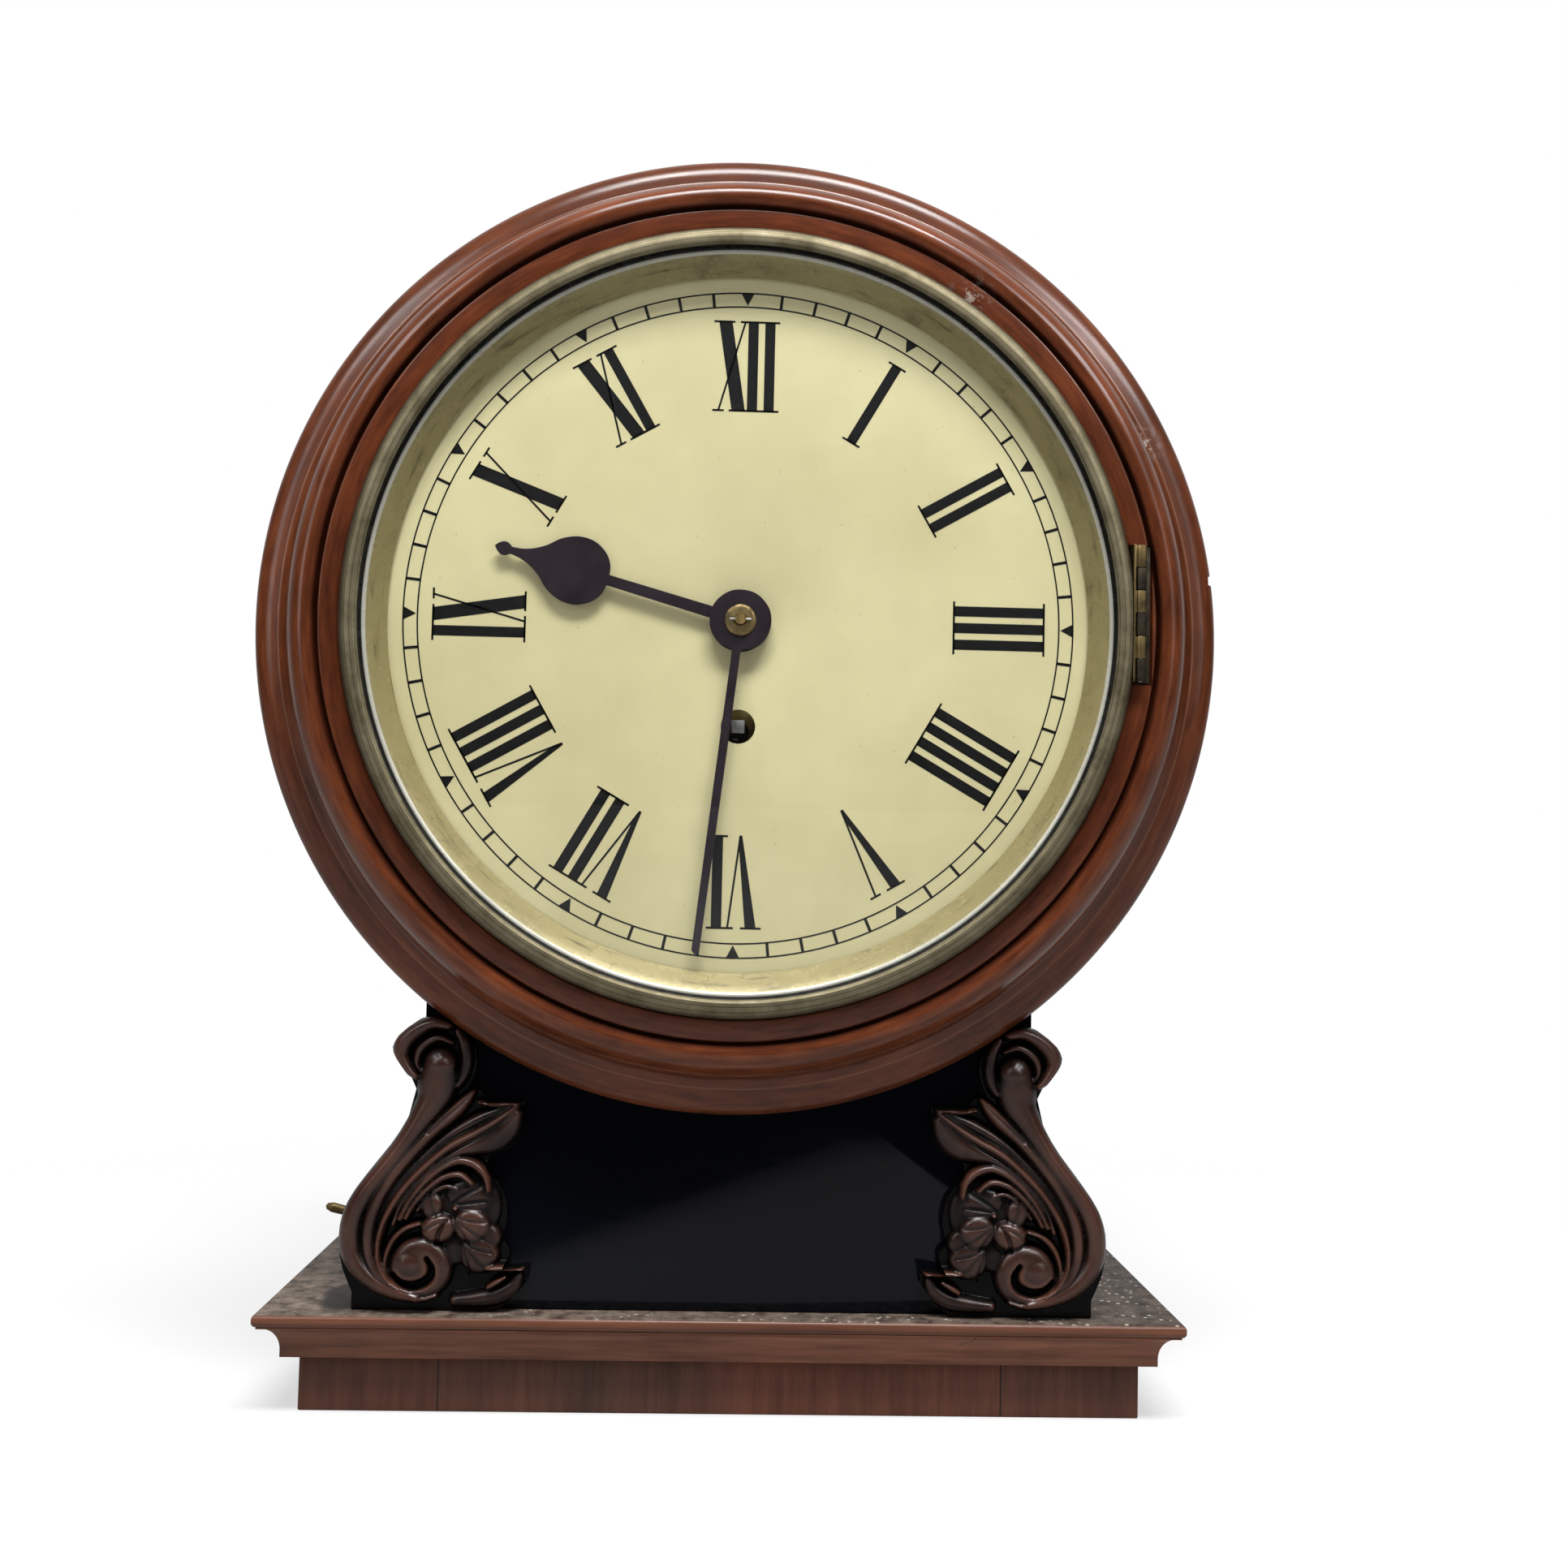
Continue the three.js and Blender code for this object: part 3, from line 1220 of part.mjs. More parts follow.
// Pallets with their arbor and crutch, the back cock, and the pendulum
function addEscapement() {
  const palletFront = trainFront + escapeWheelOffset - (palletThickness - wheelThickness) / 2;
  const nibTurn = THREE.MathUtils.degToRad(nibHalfAngle);
  const nibX = nibRadius * Math.sin(nibTurn);
  const nibZ = escapeArborZ + nibRadius * Math.cos(nibTurn);
  const anchor = polygon([
    [-nibX, nibZ],
    [-nibX + nibSize / 2, nibZ + nibSize],
    [0, palletRise - anchorArch],
    [nibX - nibSize / 2, nibZ + nibSize],
    [nibX, nibZ],
    [nibX + nibSize, nibZ + nibSize / 2],
    [nibX + nibSize, nibZ + anchorEnd],
    [0, palletRise + anchorBody],
    [-nibX - nibSize, nibZ + anchorEnd],
    [-nibX - nibSize, nibZ + nibSize / 2],
  ]);
  const crutchFront = backPlateBack + crutchDepth;
  const forkLow = palletRise - crutchLength;
  const forkHalf = rodRadius + fitGap;
  const prong = (side) =>
    box(
      side > 0 ? [forkHalf, forkHalf + crutchThickness] : [-forkHalf - crutchThickness, -forkHalf],
      [crutchFront, suspensionDepth + rodRadius + prongTail],
      [forkLow, forkLow + crutchWidth],
    );
  const yoke = forkHalf + crutchThickness;
  const crutchBack = crutchFront + crutchThickness;
  const pallets = join(
    slab(anchor, palletFront, palletFront + palletThickness),
    rod(arborRadius, trainFront + fitGap, bridgeFront - fitGap, 0, palletRise),
    rod(crutchHub, crutchFront, crutchBack + fitGap, 0, palletRise),
    box([-crutchWidth / 2, crutchWidth / 2], [crutchFront, crutchBack], [forkLow, palletRise]),
    box([-yoke, yoke], [crutchFront, crutchBack], [forkLow, forkLow + crutchWidth]),
    prong(1),
    prong(-1),
  );
  piece(head, "pallets", pallets, steel);

  // Back cock: two feet on the back plate, a bridge for the arbor, and a block the spring hangs from
  const cockFront = backPlateBack + fitGap;
  const cockLow = palletRise - cockHeight / 2;
  const cockHigh = palletRise + cockHeight / 2;
  const bridgeBack = bridgeFront + cockThickness;
  const foot = (x) =>
    box([x - cockFoot / 2, x + cockFoot / 2], [cockFront, bridgeBack], [cockLow, cockHigh]);
  const block = box(
    [-cockBlockHalf, cockBlockHalf],
    [bridgeFront, suspensionDepth + springWidth / 2],
    [palletRise + fitGap, cockHigh],
  );
  const footX = cockHalfWidth - cockFoot / 2;
  const cock = join(
    box([-cockHalfWidth, cockHalfWidth], [bridgeFront, bridgeBack], [cockLow, cockHigh]),
    foot(-footX),
    foot(footX),
    block,
  );
  piece(head, "back_cock", cock, brass);

  const springLow = palletRise - springLength;
  const spring = box(
    [-suspensionThickness / 2, suspensionThickness / 2],
    [suspensionDepth - springWidth / 2, suspensionDepth + springWidth / 2],
    [springLow, palletRise],
  );
  piece(head, "suspension_spring", spring, steel);

  const bobZ = palletRise - pendulumLength;
  const bobLow = bobZ - bobRadius;
  const nutHigh = bobLow - fitGap;
  const rodLow = nutHigh - nutHeight - rodTail;
  const rodHigh = springLow - fitGap;
  const chop = box(
    [-rodRadius, rodRadius],
    [suspensionDepth - springWidth / 2, suspensionDepth + springWidth / 2],
    [rodHigh - chopHeight, rodHigh],
  );
  const pendulum = join(uprightRod(rodRadius, rodLow, rodHigh - chopHeight / 2, 0, suspensionDepth), chop);
  piece(head, "pendulum_rod", pendulum, steel);

  const half = bobThickness / 2;
  const rodBore = uprightRod(rodRadius + fitGap, rodLow, rodHigh, 0, suspensionDepth);
  const bob = turned(
    [
      [0, suspensionDepth - half],
      [bobRadius * 0.55, suspensionDepth - half * 0.86],
      [bobRadius * 0.85, suspensionDepth - half * 0.55],
      [bobRadius, suspensionDepth - bobRim / 2],
      [bobRadius, suspensionDepth + bobRim / 2],
      [bobRadius * 0.85, suspensionDepth + half * 0.55],
      [bobRadius * 0.55, suspensionDepth + half * 0.86],
      [0, suspensionDepth + half],
    ],
    middleSides,
    0,
    bobZ,
  );
  piece(head, "pendulum_bob", cut(bob, rodBore), brass);

  const nut = cut(
    turnedUpright(
      [
        [0, nutHigh - nutHeight],
        [nutRadius, nutHigh - nutHeight],
        [nutRadius, nutHigh - nutRounding],
        [nutRadius - nutRounding, nutHigh],
        [0, nutHigh],
      ],
      smallSides,
      0,
      suspensionDepth,
    ),
    rodBore,
  );
  piece(head, "rating_nut", nut, brass);
}

// Scroll brackets: a carved ground with a raised stem that curls into a volute
function addBrackets() {
  const up = (rise) => trunkBase + rise;
  const points = (pairs) => pairs.map(([x, rise]) => new THREE.Vector2(x, up(rise)));
  const outline = new THREE.Shape();
  const straight = (pairs) => points(pairs).forEach((point) => outline.lineTo(point.x, point.y));
  const curved = (pairs) => outline.splineThru(points(pairs));
  const footOut = trunkFootHalfWidth - bracketFootInset;
  outline.moveTo(footOut, up(0));
  straight([[footOut, bracketFootRise]]);
  curved(outerEdge);
  straight(crestLine);
  curved(topCurl);
  straight(upperLeaf);
  curved(broadLeaf);
  curved(hood);
  curved(lowerPetal);
  straight(footLeaf);

  // The raised stem, drawn as a band along its middle line
  const stemLine = new THREE.SplineCurve(points(stemMiddle));
  const edge = (side) =>
    Array.from({ length: stemSteps + 1 }, (_, i) => {
      const share = i / stemSteps;
      const point = stemLine.getPointAt(share);
      const along = stemLine.getTangentAt(share);
      const half = (stemThickness / 2) * (stemRoot + stemSwell * Math.sin(Math.PI * share));
      return [point.x - side * along.y * half, point.y + side * along.x * half];
    });
  const stemShape = polygon([...edge(1), ...edge(-1).reverse()]);

  const back = trunkFront - fitGap;
  const front = back - bracketThickness;
  const groundFront = back - bracketGround;
  const root = groundFront + reliefRoot;
  const hollowDepth = (bracketThickness - bracketGround) / 2;
  const volute = turned(
    [
      [0, front],
      [voluteEye, front],
      [voluteEye + reliefRoot, front + hollowDepth],
      [voluteRadius - hollowDepth, front + hollowDepth],
      [voluteRadius - hollowDepth / 2, front],
      [voluteRadius, front + hollowDepth / 2],
      [voluteRadius, root],
      [0, root],
    ],
    middleSides,
    voluteX,
    up(voluteRise),
  );
  const bud = turned(
    [
      [0, front],
      [budCrown, front + reliefRoot],
      [budRadius, groundFront],
      [budRadius, root],
      [0, root],
    ],
    smallSides,
    budX,
    up(budRise),
  );
  const stem = slab(stemShape, front + stemSink, root);
  // The heads of both brackets are scribed to the dial surround above them.
  const scribe = rod(surroundRadius + fitGap, front - 1, back + 1, 0, dialCentreHeight, roundSides);
  const right = cut(join(slab(outline, groundFront, back, 2), stem, volute, bud), scribe);
  piece(body, "bracket_right", right, carvedOak);
  piece(body, "bracket_left", right.mirror([1, 0, 0]), carvedOak);
}

addBase();
addTrunk();
addSideDoor();
addBrackets();
addDrum();
addSurround();
addBezel();
addDial();
addMovementFrame();
addTrain();
addMotionWork();
addPower();
addEscapement();

export default clock;
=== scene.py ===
import json
from math import cos, pi, radians, sin

import bpy
import numpy as np
from bpy import ops
from mathutils import Matrix, Vector


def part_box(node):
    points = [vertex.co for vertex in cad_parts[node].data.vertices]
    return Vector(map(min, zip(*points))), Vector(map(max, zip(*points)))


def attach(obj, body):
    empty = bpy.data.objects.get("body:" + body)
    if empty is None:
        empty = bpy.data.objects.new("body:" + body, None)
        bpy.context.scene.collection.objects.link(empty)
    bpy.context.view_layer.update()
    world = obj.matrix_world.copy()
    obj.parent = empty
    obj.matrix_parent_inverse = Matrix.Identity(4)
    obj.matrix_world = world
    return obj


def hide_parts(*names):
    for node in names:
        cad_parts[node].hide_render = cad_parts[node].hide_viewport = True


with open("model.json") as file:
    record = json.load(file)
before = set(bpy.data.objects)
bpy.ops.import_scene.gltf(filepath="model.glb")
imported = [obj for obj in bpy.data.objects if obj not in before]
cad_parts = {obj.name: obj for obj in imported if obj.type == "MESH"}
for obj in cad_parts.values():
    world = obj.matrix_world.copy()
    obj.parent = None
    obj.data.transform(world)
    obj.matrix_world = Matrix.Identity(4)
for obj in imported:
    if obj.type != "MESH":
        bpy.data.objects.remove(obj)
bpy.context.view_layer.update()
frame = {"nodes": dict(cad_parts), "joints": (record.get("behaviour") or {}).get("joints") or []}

# Plinth
# A low pine box that the clock stands on, veneered in mahogany with the grain upright. The veneer is laid
# in leaves of different tone, which meet in two fine joints on the front.
mm = 0.001
same_spot = 0.001 * mm


def pick(piece):
    ops.object.select_all(action="DESELECT")
    piece.select_set(True)
    bpy.context.view_layer.objects.active = piece


def set_down(name, data):
    """A new object in the scene, picked out alone."""
    piece = bpy.data.objects.new(name, data)
    bpy.context.scene.collection.objects.link(piece)
    pick(piece)
    return piece


def edit_all():
    ops.object.mode_set(mode="EDIT")
    ops.mesh.select_all(action="SELECT")


def shade(degrees=35):
    ops.object.shade_smooth_by_angle(angle=radians(degrees))


def work_up(node, easing, segments=2):
    """A copy of a solid with its flat faces made whole and its edges eased."""
    piece = set_down(f"{node}_finished", frame["nodes"][node].data.copy())
    piece.data.materials.clear()
    ops.mesh.customdata_custom_splitnormals_clear()
    edit_all()
    ops.mesh.remove_doubles(threshold=same_spot)
    ops.mesh.dissolve_limited(angle_limit=radians(0.5))
    ops.object.mode_set(mode="OBJECT")
    if easing:
        rounding = piece.modifiers.new("easing", "BEVEL")
        rounding.width = easing * mm
        rounding.segments = segments
        rounding.limit_method = "ANGLE"
        rounding.angle_limit = radians(25)
        ops.object.modifier_apply(modifier=rounding.name)
    shade()
    return piece


def hand_over(piece, material, body, slot, *nodes):
    """Gives a piece its finish, its body and the solids that it stands for."""
    piece.data.materials.clear()
    piece.data.materials.append(material)
    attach(piece, body)
    if nodes:
        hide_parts(*nodes)


def dress(node, material, body, slot, easing, segments=2):
    """Works up a solid that keeps its shape, and hands it over."""
    hand_over(work_up(node, easing, segments), material, body, slot, node)


def new_finish(name, **sockets):
    """A material with these plain values, given as Socket_Name=value."""
    material = bpy.data.materials.new(name)
    material.use_nodes = True
    shader = material.node_tree.nodes["Principled BSDF"]
    for socket, value in sockets.items():
        shader.inputs[socket.replace("_", " ")].default_value = value
    return material


def add_node(tree, kind, inputs, **settings):
    """A shader node of a kind. Each input takes a plain value or another node's output."""
    node = tree.nodes.new(f"ShaderNode{kind}")
    for key, value in settings.items():
        setattr(node, key, value)
    for key, value in inputs.items():
        if isinstance(value, bpy.types.NodeSocket):
            tree.links.new(value, node.inputs[key])
        else:
            node.inputs[key].default_value = value
    return node


def feed(socket, value):
    """Leads a value to the shader of its own material."""
    tree = value.id_data
    tree.links.new(value, tree.nodes["Principled BSDF"].inputs[socket])


def place_on(material):
    """Position on the clock, in metres."""
    return add_node(material.node_tree, "TexCoord", {}).outputs["Object"]


def part(vector, axis):
    return add_node(vector.id_data, "SeparateXYZ", {"Vector": vector}).outputs[axis]


def mottle(place, scale, detail=4, rough=0.55):
    """Cloudy noise. With a scale for each axis it is drawn out into lines."""
    if isinstance(scale, tuple):
        place = add_node(place.id_data, "Mapping", {0: place, "Scale": scale}).outputs[0]
        scale = 1.0
    inputs = {"Vector": place, "Scale": scale, "Detail": detail, "Roughness": rough}
    return add_node(place.id_data, "TexNoise", inputs).outputs[0]


def tones(value, *stops):
    """Colours along a value, as (place, colour) stops. A single number is a grey."""
    ramp = add_node(value.id_data, "ValToRGB", {"Fac": value})
    for i, (place, colour) in enumerate(stops):
        stop = ramp.color_ramp.elements[i] if i < 2 else ramp.color_ramp.elements.new(place)
        stop.position = place
        stop.color = (*colour, 1) if isinstance(colour, tuple) else (colour, colour, colour, 1)
    return ramp.outputs["Color"]


def between(value, low, high, start=0.0, end=1.0, **settings):
    """How far a value has come from low to high, counted from start to end."""
    inputs = {"Value": value, "From Min": low, "From Max": high, "To Min": start, "To Max": end}
    return add_node(value.id_data, "MapRange", inputs, **settings).outputs["Result"]


def tones_along(value, low, high, *stops):
    """Colours along a length, with its ends and its stops in millimetres."""
    share = between(value, low * mm, high * mm)
    return tones(share, *(((spot - low) / (high - low), colour) for spot, colour in stops))


def over(share, under, upper, mode="MIX"):
    """One colour laid over another by a share."""
    if isinstance(upper, tuple):
        upper = (*upper, 1)
    inputs = {0: share, 6: under, 7: upper}
    return add_node(under.id_data, "Mix", inputs, data_type="RGBA", blend_type=mode).outputs[2]


def times(tone, factor):
    return over(1.0, tone, factor, "MULTIPLY")


def reckon(operation, *values):
    """A sum whose first value is another node's output."""
    inputs = dict(enumerate(values))
    return add_node(values[0].id_data, "Math", inputs, operation=operation).outputs[0]


def relief(height, depth):
    """Fine relief on the surface, as a depth in millimetres."""
    inputs = {"Height": height, "Strength": 1.0, "Distance": depth * mm}
    feed("Normal", add_node(height.id_data, "Bump", inputs).outputs["Normal"])


def wood(name, scale, depth, *grain, **sockets):
    """A finish with grain of some relief drawn out along the wood, with its place and its tone."""
    material = new_finish(name, **sockets)
    place = place_on(material)
    lines = mottle(place, scale, 5, 0.6)
    if depth:
        relief(lines, depth)
    return material, place, tones(lines, *grain)


veneer, veneer_place, veneer_tone = wood(
    "upright mahogany veneer",
    (520, 520, 34), 0.03, (0.3, (0.105, 0.04, 0.0245)), (0.72, (0.18, 0.071, 0.043)),
    Roughness=0.42,
    Specular_IOR_Level=0.3,
)
veneer_figure = mottle(veneer_place, (40, 40, 18), 3)
veneer_tone = times(veneer_tone, tones(veneer_figure, (0.34, 0.82), (0.64, 1.12)))
veneer_across = part(veneer_place, "X")
veneer_leaves = tones_along(
    veneer_across, -100, 100, (-84.4, (0.9, 0.86, 0.84)), (-84.0, (1.0, 1.02, 1.02)),
    (-52.0, (0.98, 1.02, 1.06)), (-38.0, (0.62, 0.76, 0.84)), (-28.0, (0.92, 1.0, 1.06)),
    (-6.0, (0.98, 1.0, 1.04)), (12.0, (1.22, 1.06, 0.94)), (40.0, (1.12, 1.02, 0.94)),
    (83.2, (1.08, 1.0, 0.94)), (83.6, (0.92, 0.9, 0.9)),
)
veneer_tone = times(veneer_tone, veneer_leaves)
left_joint, right_joint, joint_half = -84.2 * mm, 83.5 * mm, 0.22 * mm
veneer_joints = [reckon("COMPARE", veneer_across, x, joint_half) for x in (left_joint, right_joint)]
veneer_joint = reckon("ADD", *veneer_joints)
feed("Base Color", over(veneer_joint, veneer_tone, (0.02, 0.009, 0.006)))
dress("plinth", veneer, "case", "mahogany", 0.5)

# Cove mouldings and back rail
# Hollow mouldings run in solid mahogany, mitred round the front and sides under the top board and glued to
# the plinth. The rail at the back is plain. The front moulding has a short shrinkage crack.
moulding, moulding_place, moulding_tone = wood(
    "moulded mahogany",
    (24, 60, 420), 0.03, (0.3, (0.135, 0.046, 0.025)), (0.7, (0.32, 0.125, 0.068)),
    Roughness=0.36,
    Specular_IOR_Level=0.35,
)
moulding_age = tones(mottle(moulding_place, 22.0, 3), (0.36, 0.72), (0.6, 1.12))
moulding_tone = times(moulding_tone, moulding_age)
crack_spot, crack_lean, crack_length, crack_width = (73 * mm, 0, 24.2 * mm), -32, 6.8, 0.28
crack_stray = 3.2 * mm
crack = add_node(
    moulding.node_tree,
    "Mapping",
    {"Vector": moulding_place, "Location": crack_spot, "Rotation": (0, radians(crack_lean), 0)},
    vector_type="TEXTURE",
).outputs["Vector"]
crack_wander = mottle(moulding_place, 420.0)
crack_across = reckon("MULTIPLY_ADD", crack_wander, crack_stray, part(crack, "Z"))
crack_across = reckon("COMPARE", crack_across, crack_stray / 2, crack_width / 2 * mm)
crack_along = reckon("COMPARE", part(crack, "X"), 0.0, crack_length / 2 * mm)
crack_share = reckon("MULTIPLY", crack_across, crack_along)
feed("Base Color", over(crack_share, moulding_tone, (0.012, 0.006, 0.004)))

plinth_low, plinth_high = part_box("plinth")
cove_foot, cove_head = (corner.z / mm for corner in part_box("base_cove_front"))
cove_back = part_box("base_cove_left")[1].y
cove_inside, cove_out, cove_lip, cove_fillet, lip_edge = -4.6, 4.6, 10.3, 2.2, 0.4
cove_steps = 12
spare = 20 * mm  # length beyond a mitre, which is sawn off
hollow_width = cove_lip - cove_out
hollow_height = cove_head - lip_edge - cove_foot - cove_fillet
cove_profile = [(cove_inside, cove_foot), (cove_out, cove_foot)]
for i in range(cove_steps + 1):
    turn = i / cove_steps * pi / 2
    rise = cove_foot + cove_fillet + hollow_height * sin(turn)
    cove_profile.append((cove_lip - hollow_width * cos(turn), rise))
cove_profile += [(cove_lip, cove_head), (cove_inside, cove_head)]


def draw(name, points):
    """A closed wire through some points, selected in edit mode."""
    ops.mesh.primitive_plane_add(size=mm, location=points[0])
    piece = bpy.context.object
    piece.name = name
    ops.object.mode_set(mode="EDIT")
    ops.mesh.merge(type="CENTER")
    for here, there in zip(points, [*points[1:], points[0]]):
        ops.mesh.extrude_vertices_move(TRANSFORM_OT_translate={"value": there - here})
    ops.mesh.select_all(action="SELECT")
    return piece


def turn_outwards():
    """Turns all faces of the piece outwards and leaves edit mode."""
    ops.mesh.select_all(action="SELECT")
    ops.mesh.normals_make_consistent(inside=False)
    ops.object.mode_set(mode="OBJECT")


def run_moulding(name, corner, outward, along, mitres):
    """Planes a length of cove from its profile and saws its mitres, each as a point and a direction."""
    start = corner - Vector(along).normalized() * spare
    section = [start + Vector(outward) * out * mm + Vector((0, 0, rise * mm)) for out, rise in cove_profile]
    rail = draw(name, section)
    ops.mesh.remove_doubles(threshold=same_spot)
    ops.mesh.edge_face_add()
    ops.mesh.extrude_region_move(TRANSFORM_OT_translate={"value": along})
    for point, direction in mitres:
        ops.mesh.select_all(action="SELECT")
        ops.mesh.bisect(plane_co=point, plane_no=direction, use_fill=True, clear_outer=True)
    turn_outwards()
    ops.object.transform_apply(location=True)
    shade()
    return rail


left_corner = Vector((plinth_low.x, plinth_low.y, 0))
right_corner = Vector((plinth_high.x, plinth_low.y, 0))
front_run = (plinth_high.x - plinth_low.x + 2 * spare, 0, 0)
side_run = (0, cove_back - plinth_low.y + spare, 0)
front_mitres = [(left_corner, (-1, 1, 0)), (right_corner, (1, 1, 0))]
for node, corner, outward, along, mitres in (
    ("base_cove_front", left_corner, (0, -1, 0), front_run, front_mitres),
    ("base_cove_left", left_corner, (-1, 0, 0), side_run, [(left_corner, (1, -1, 0))]),
    ("base_cove_right", right_corner, (1, 0, 0), side_run, [(right_corner, (-1, -1, 0))]),
):
    rail = run_moulding(f"{node}_finished", corner, outward, along, mitres)
    hand_over(rail, moulding, "case", "dark_mahogany", node)

bare_wood, _, bare_tone = wood(
    "bare pine",
    (12, 300, 300), 0.06, (0.3, (0.14, 0.075, 0.036)), (0.7, (0.27, 0.155, 0.08)),
    Roughness=0.75,
)
feed("Base Color", bare_tone)
dress("base_back_rail", bare_wood, "case", "plain_wood", 0.4)

# Top board of the base
# A thin mahogany board with rounded edges on which trunk and brackets stand. Its edge is polished and
# worn light along the top, and its upper face is dull with old dust and specks of polish, with a painted
# shadow beside the left bracket's foot.
board, board_place, board_tone = wood(
    "dusty top board",
    (18, 260, 420), 0, (0.3, (0.1, 0.034, 0.018)), (0.7, (0.2, 0.076, 0.042)),
    Specular_IOR_Level=0.3,
)
board_across = part(board_place, "X")
board_half = 140
dust = mottle(board_place, 160.0, 6, 0.7)
dust_tone = tones(dust, (0.36, (0.04, 0.025, 0.017)), (0.66, (0.24, 0.185, 0.145)))
# The dust tone grows darker towards the right.
darker_to_right = tones_along(board_across, -board_half, board_half, (-56.0, 1), (95.2, 0.8), (123.2, 0.45))
dust_tone = times(dust_tone, darker_to_right)


def from_centre(material, centre, scale=(1, 0, 1)):
    """Place counted from a centre. Left to itself it takes no note of depth."""
    shift = [-spot * size for spot, size in zip(centre, scale)]
    inputs = {"Vector": place_on(material), "Location": shift, "Scale": scale}
    return add_node(material.node_tree, "Mapping", inputs).outputs["Vector"]


def length(vector):
    return add_node(vector.id_data, "VectorMath", {0: vector}, operation="LENGTH").outputs["Value"]


def dots(place, scale, *stops):
    """Scattered dots, with their colours from the middle outwards."""
    cells = add_node(place.id_data, "TexVoronoi", {"Vector": place, "Scale": scale})
    return tones(cells.outputs["Distance"], *stops)


# A painted shadow on the board's top beside the left bracket's foot, drawn out towards the back.
painted_shadow_centre, painted_shadow_wide, painted_shadow_long = (-113 * mm, -36 * mm, 0), 9 * mm, 20 * mm
painted_shadow = length(from_centre(board, painted_shadow_centre, (1 / painted_shadow_wide, 1 / painted_shadow_long, 0)))
painted_shadow = tones(painted_shadow, (0.75, 0.9), (1.0, 0))
dust_tone = over(painted_shadow, dust_tone, (0.012, 0.008, 0.007))
rightward = between(board_across, -board_half * mm, board_half * mm)
speck_patch = reckon("MULTIPLY_ADD", rightward, 0.16, mottle(board_place, 26.0))
speck_patch = tones(speck_patch, (0.57, 0), (0.65, 0.8))
speck = times(dots(board_place, 330.0, (0.16, 1), (0.24, 0)), speck_patch)
dust_tone = over(speck, dust_tone, (0.5, 0.46, 0.4))
board_facing = part(add_node(board.node_tree, "TexCoord", {}).outputs["Normal"], "Z")
upper_face = tones(board_facing, (0.75, 0), (0.95, 1))
feed("Base Color", over(upper_face, board_tone, dust_tone))
feed("Roughness", tones(board_facing, (0.75, 0.3), (0.95, 0.62)))
relief(dust, 0.05)
dress("base_board", board, "case", "mahogany", 0.5, 3)

# Trunk
# Four stained boards: a front panel, japanned black and polished like a mirror, a back board and two
# waisted sides. The left side has a small door on a brass hinge, held by a turning catch with a pull.
japan = new_finish(
    "black japan", Base_Color=(0.003, 0.0036, 0.006, 1), Specular_IOR_Level=0.2, IOR=1.45
)
japan_haze = mottle(place_on(japan), (60, 60, 240), 5, 0.7)
feed("Roughness", tones(japan_haze, (0.35, 0.05), (0.75, 0.16)))
dress("trunk_front_panel", japan, "case", "ebonised_panel", 0.3)


def stained(name, scale, patches, dark, light):
    """A wood stained dark and waxed, with its grain and its patches of age."""
    wax = {"Roughness": 0.36, "Coat_Weight": 0.2, "Coat_Roughness": 0.22}
    material, place, tone = wood(name, scale, 0.04, (0.3, dark), (0.72, light), **wax)
    age = tones(mottle(place, patches, 3), (0.36, 0.6), (0.62, 1.1))
    feed("Base Color", times(tone, age))
    return material


dark_wood = stained(
    "dark stained mahogany", (360, 360, 16), 16.0, (0.022, 0.009, 0.006), (0.075, 0.028, 0.015)
)
for node in ("trunk_back_board", "trunk_side_right", "trunk_side_left"):
    dress(node, dark_wood, "case", "dark_mahogany", 0.4)
dress("side_door", dark_wood, "side_door", "dark_mahogany", 0.5)

old_brass = new_finish("old brass fittings", Metallic=1.0)
tarnish = mottle(place_on(old_brass), 210.0, 5, 0.65)
old_tone = tones(tarnish, (0.34, (0.06, 0.044, 0.02)), (0.66, (0.26, 0.19, 0.085)))
feed("Base Color", old_tone)
feed("Roughness", tones(tarnish, (0.35, 0.52), (0.65, 0.32)))
for node, body in (("side_hinge_fixed_leaf", "case"), ("side_hinge_door_leaf", "side_door")):
    dress(node, old_brass, body, "aged_brass", 0.35, 3)
joints = {joint["name"]: joint for joint in frame["joints"]}
side_catch = work_up("side_door_catch", 0.25, 3)
pull_foot = Vector(joints["side_catch_turn"]["pos_m"])
pull_way = -Vector(joints["side_catch_turn"]["axis"])
pull_reach = max((corner.co - pull_foot).dot(pull_way) for corner in side_catch.data.vertices)
pull_growth, pull_taper = 1.5 * mm, 0.35
for corner in side_catch.data.vertices:
    share = max(0, (corner.co - pull_foot).dot(pull_way) / pull_reach)
    middle = pull_foot + pull_way * share * pull_reach
    if share:
        slimmer = (corner.co - middle) * (1 - pull_taper * share**3)
        corner.co = middle + pull_way * share * pull_growth + slimmer
hand_over(side_catch, old_brass, "side_catch", "bezel_brass", "side_door_catch")

# Scroll brackets
# A pair carved in the solid and stained nearly black, with the high parts rubbed red-brown and the creases
# and deep ground painted darker as shade. A fluted stem runs from a curled head round a scroll at the foot,
# with leaves and a flower on its inner side.
bracket_low, bracket_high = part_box("bracket_right")
bracket_back = bracket_high.y
bracket_ground, bracket_least = 2.4, 1.6  # wood left behind the carving and under the cuts, in millimetres
gouge_step, rub_and_shade_reach, rub_and_shade_ways = 0.36, 1.7, 8
proud_range, raised_range, proud_weight = 3, 5, 0.45
plank_spare, plank_skirt, saw_reach = Vector((2, 0, 2)) * mm, 20 * mm, 8 * mm

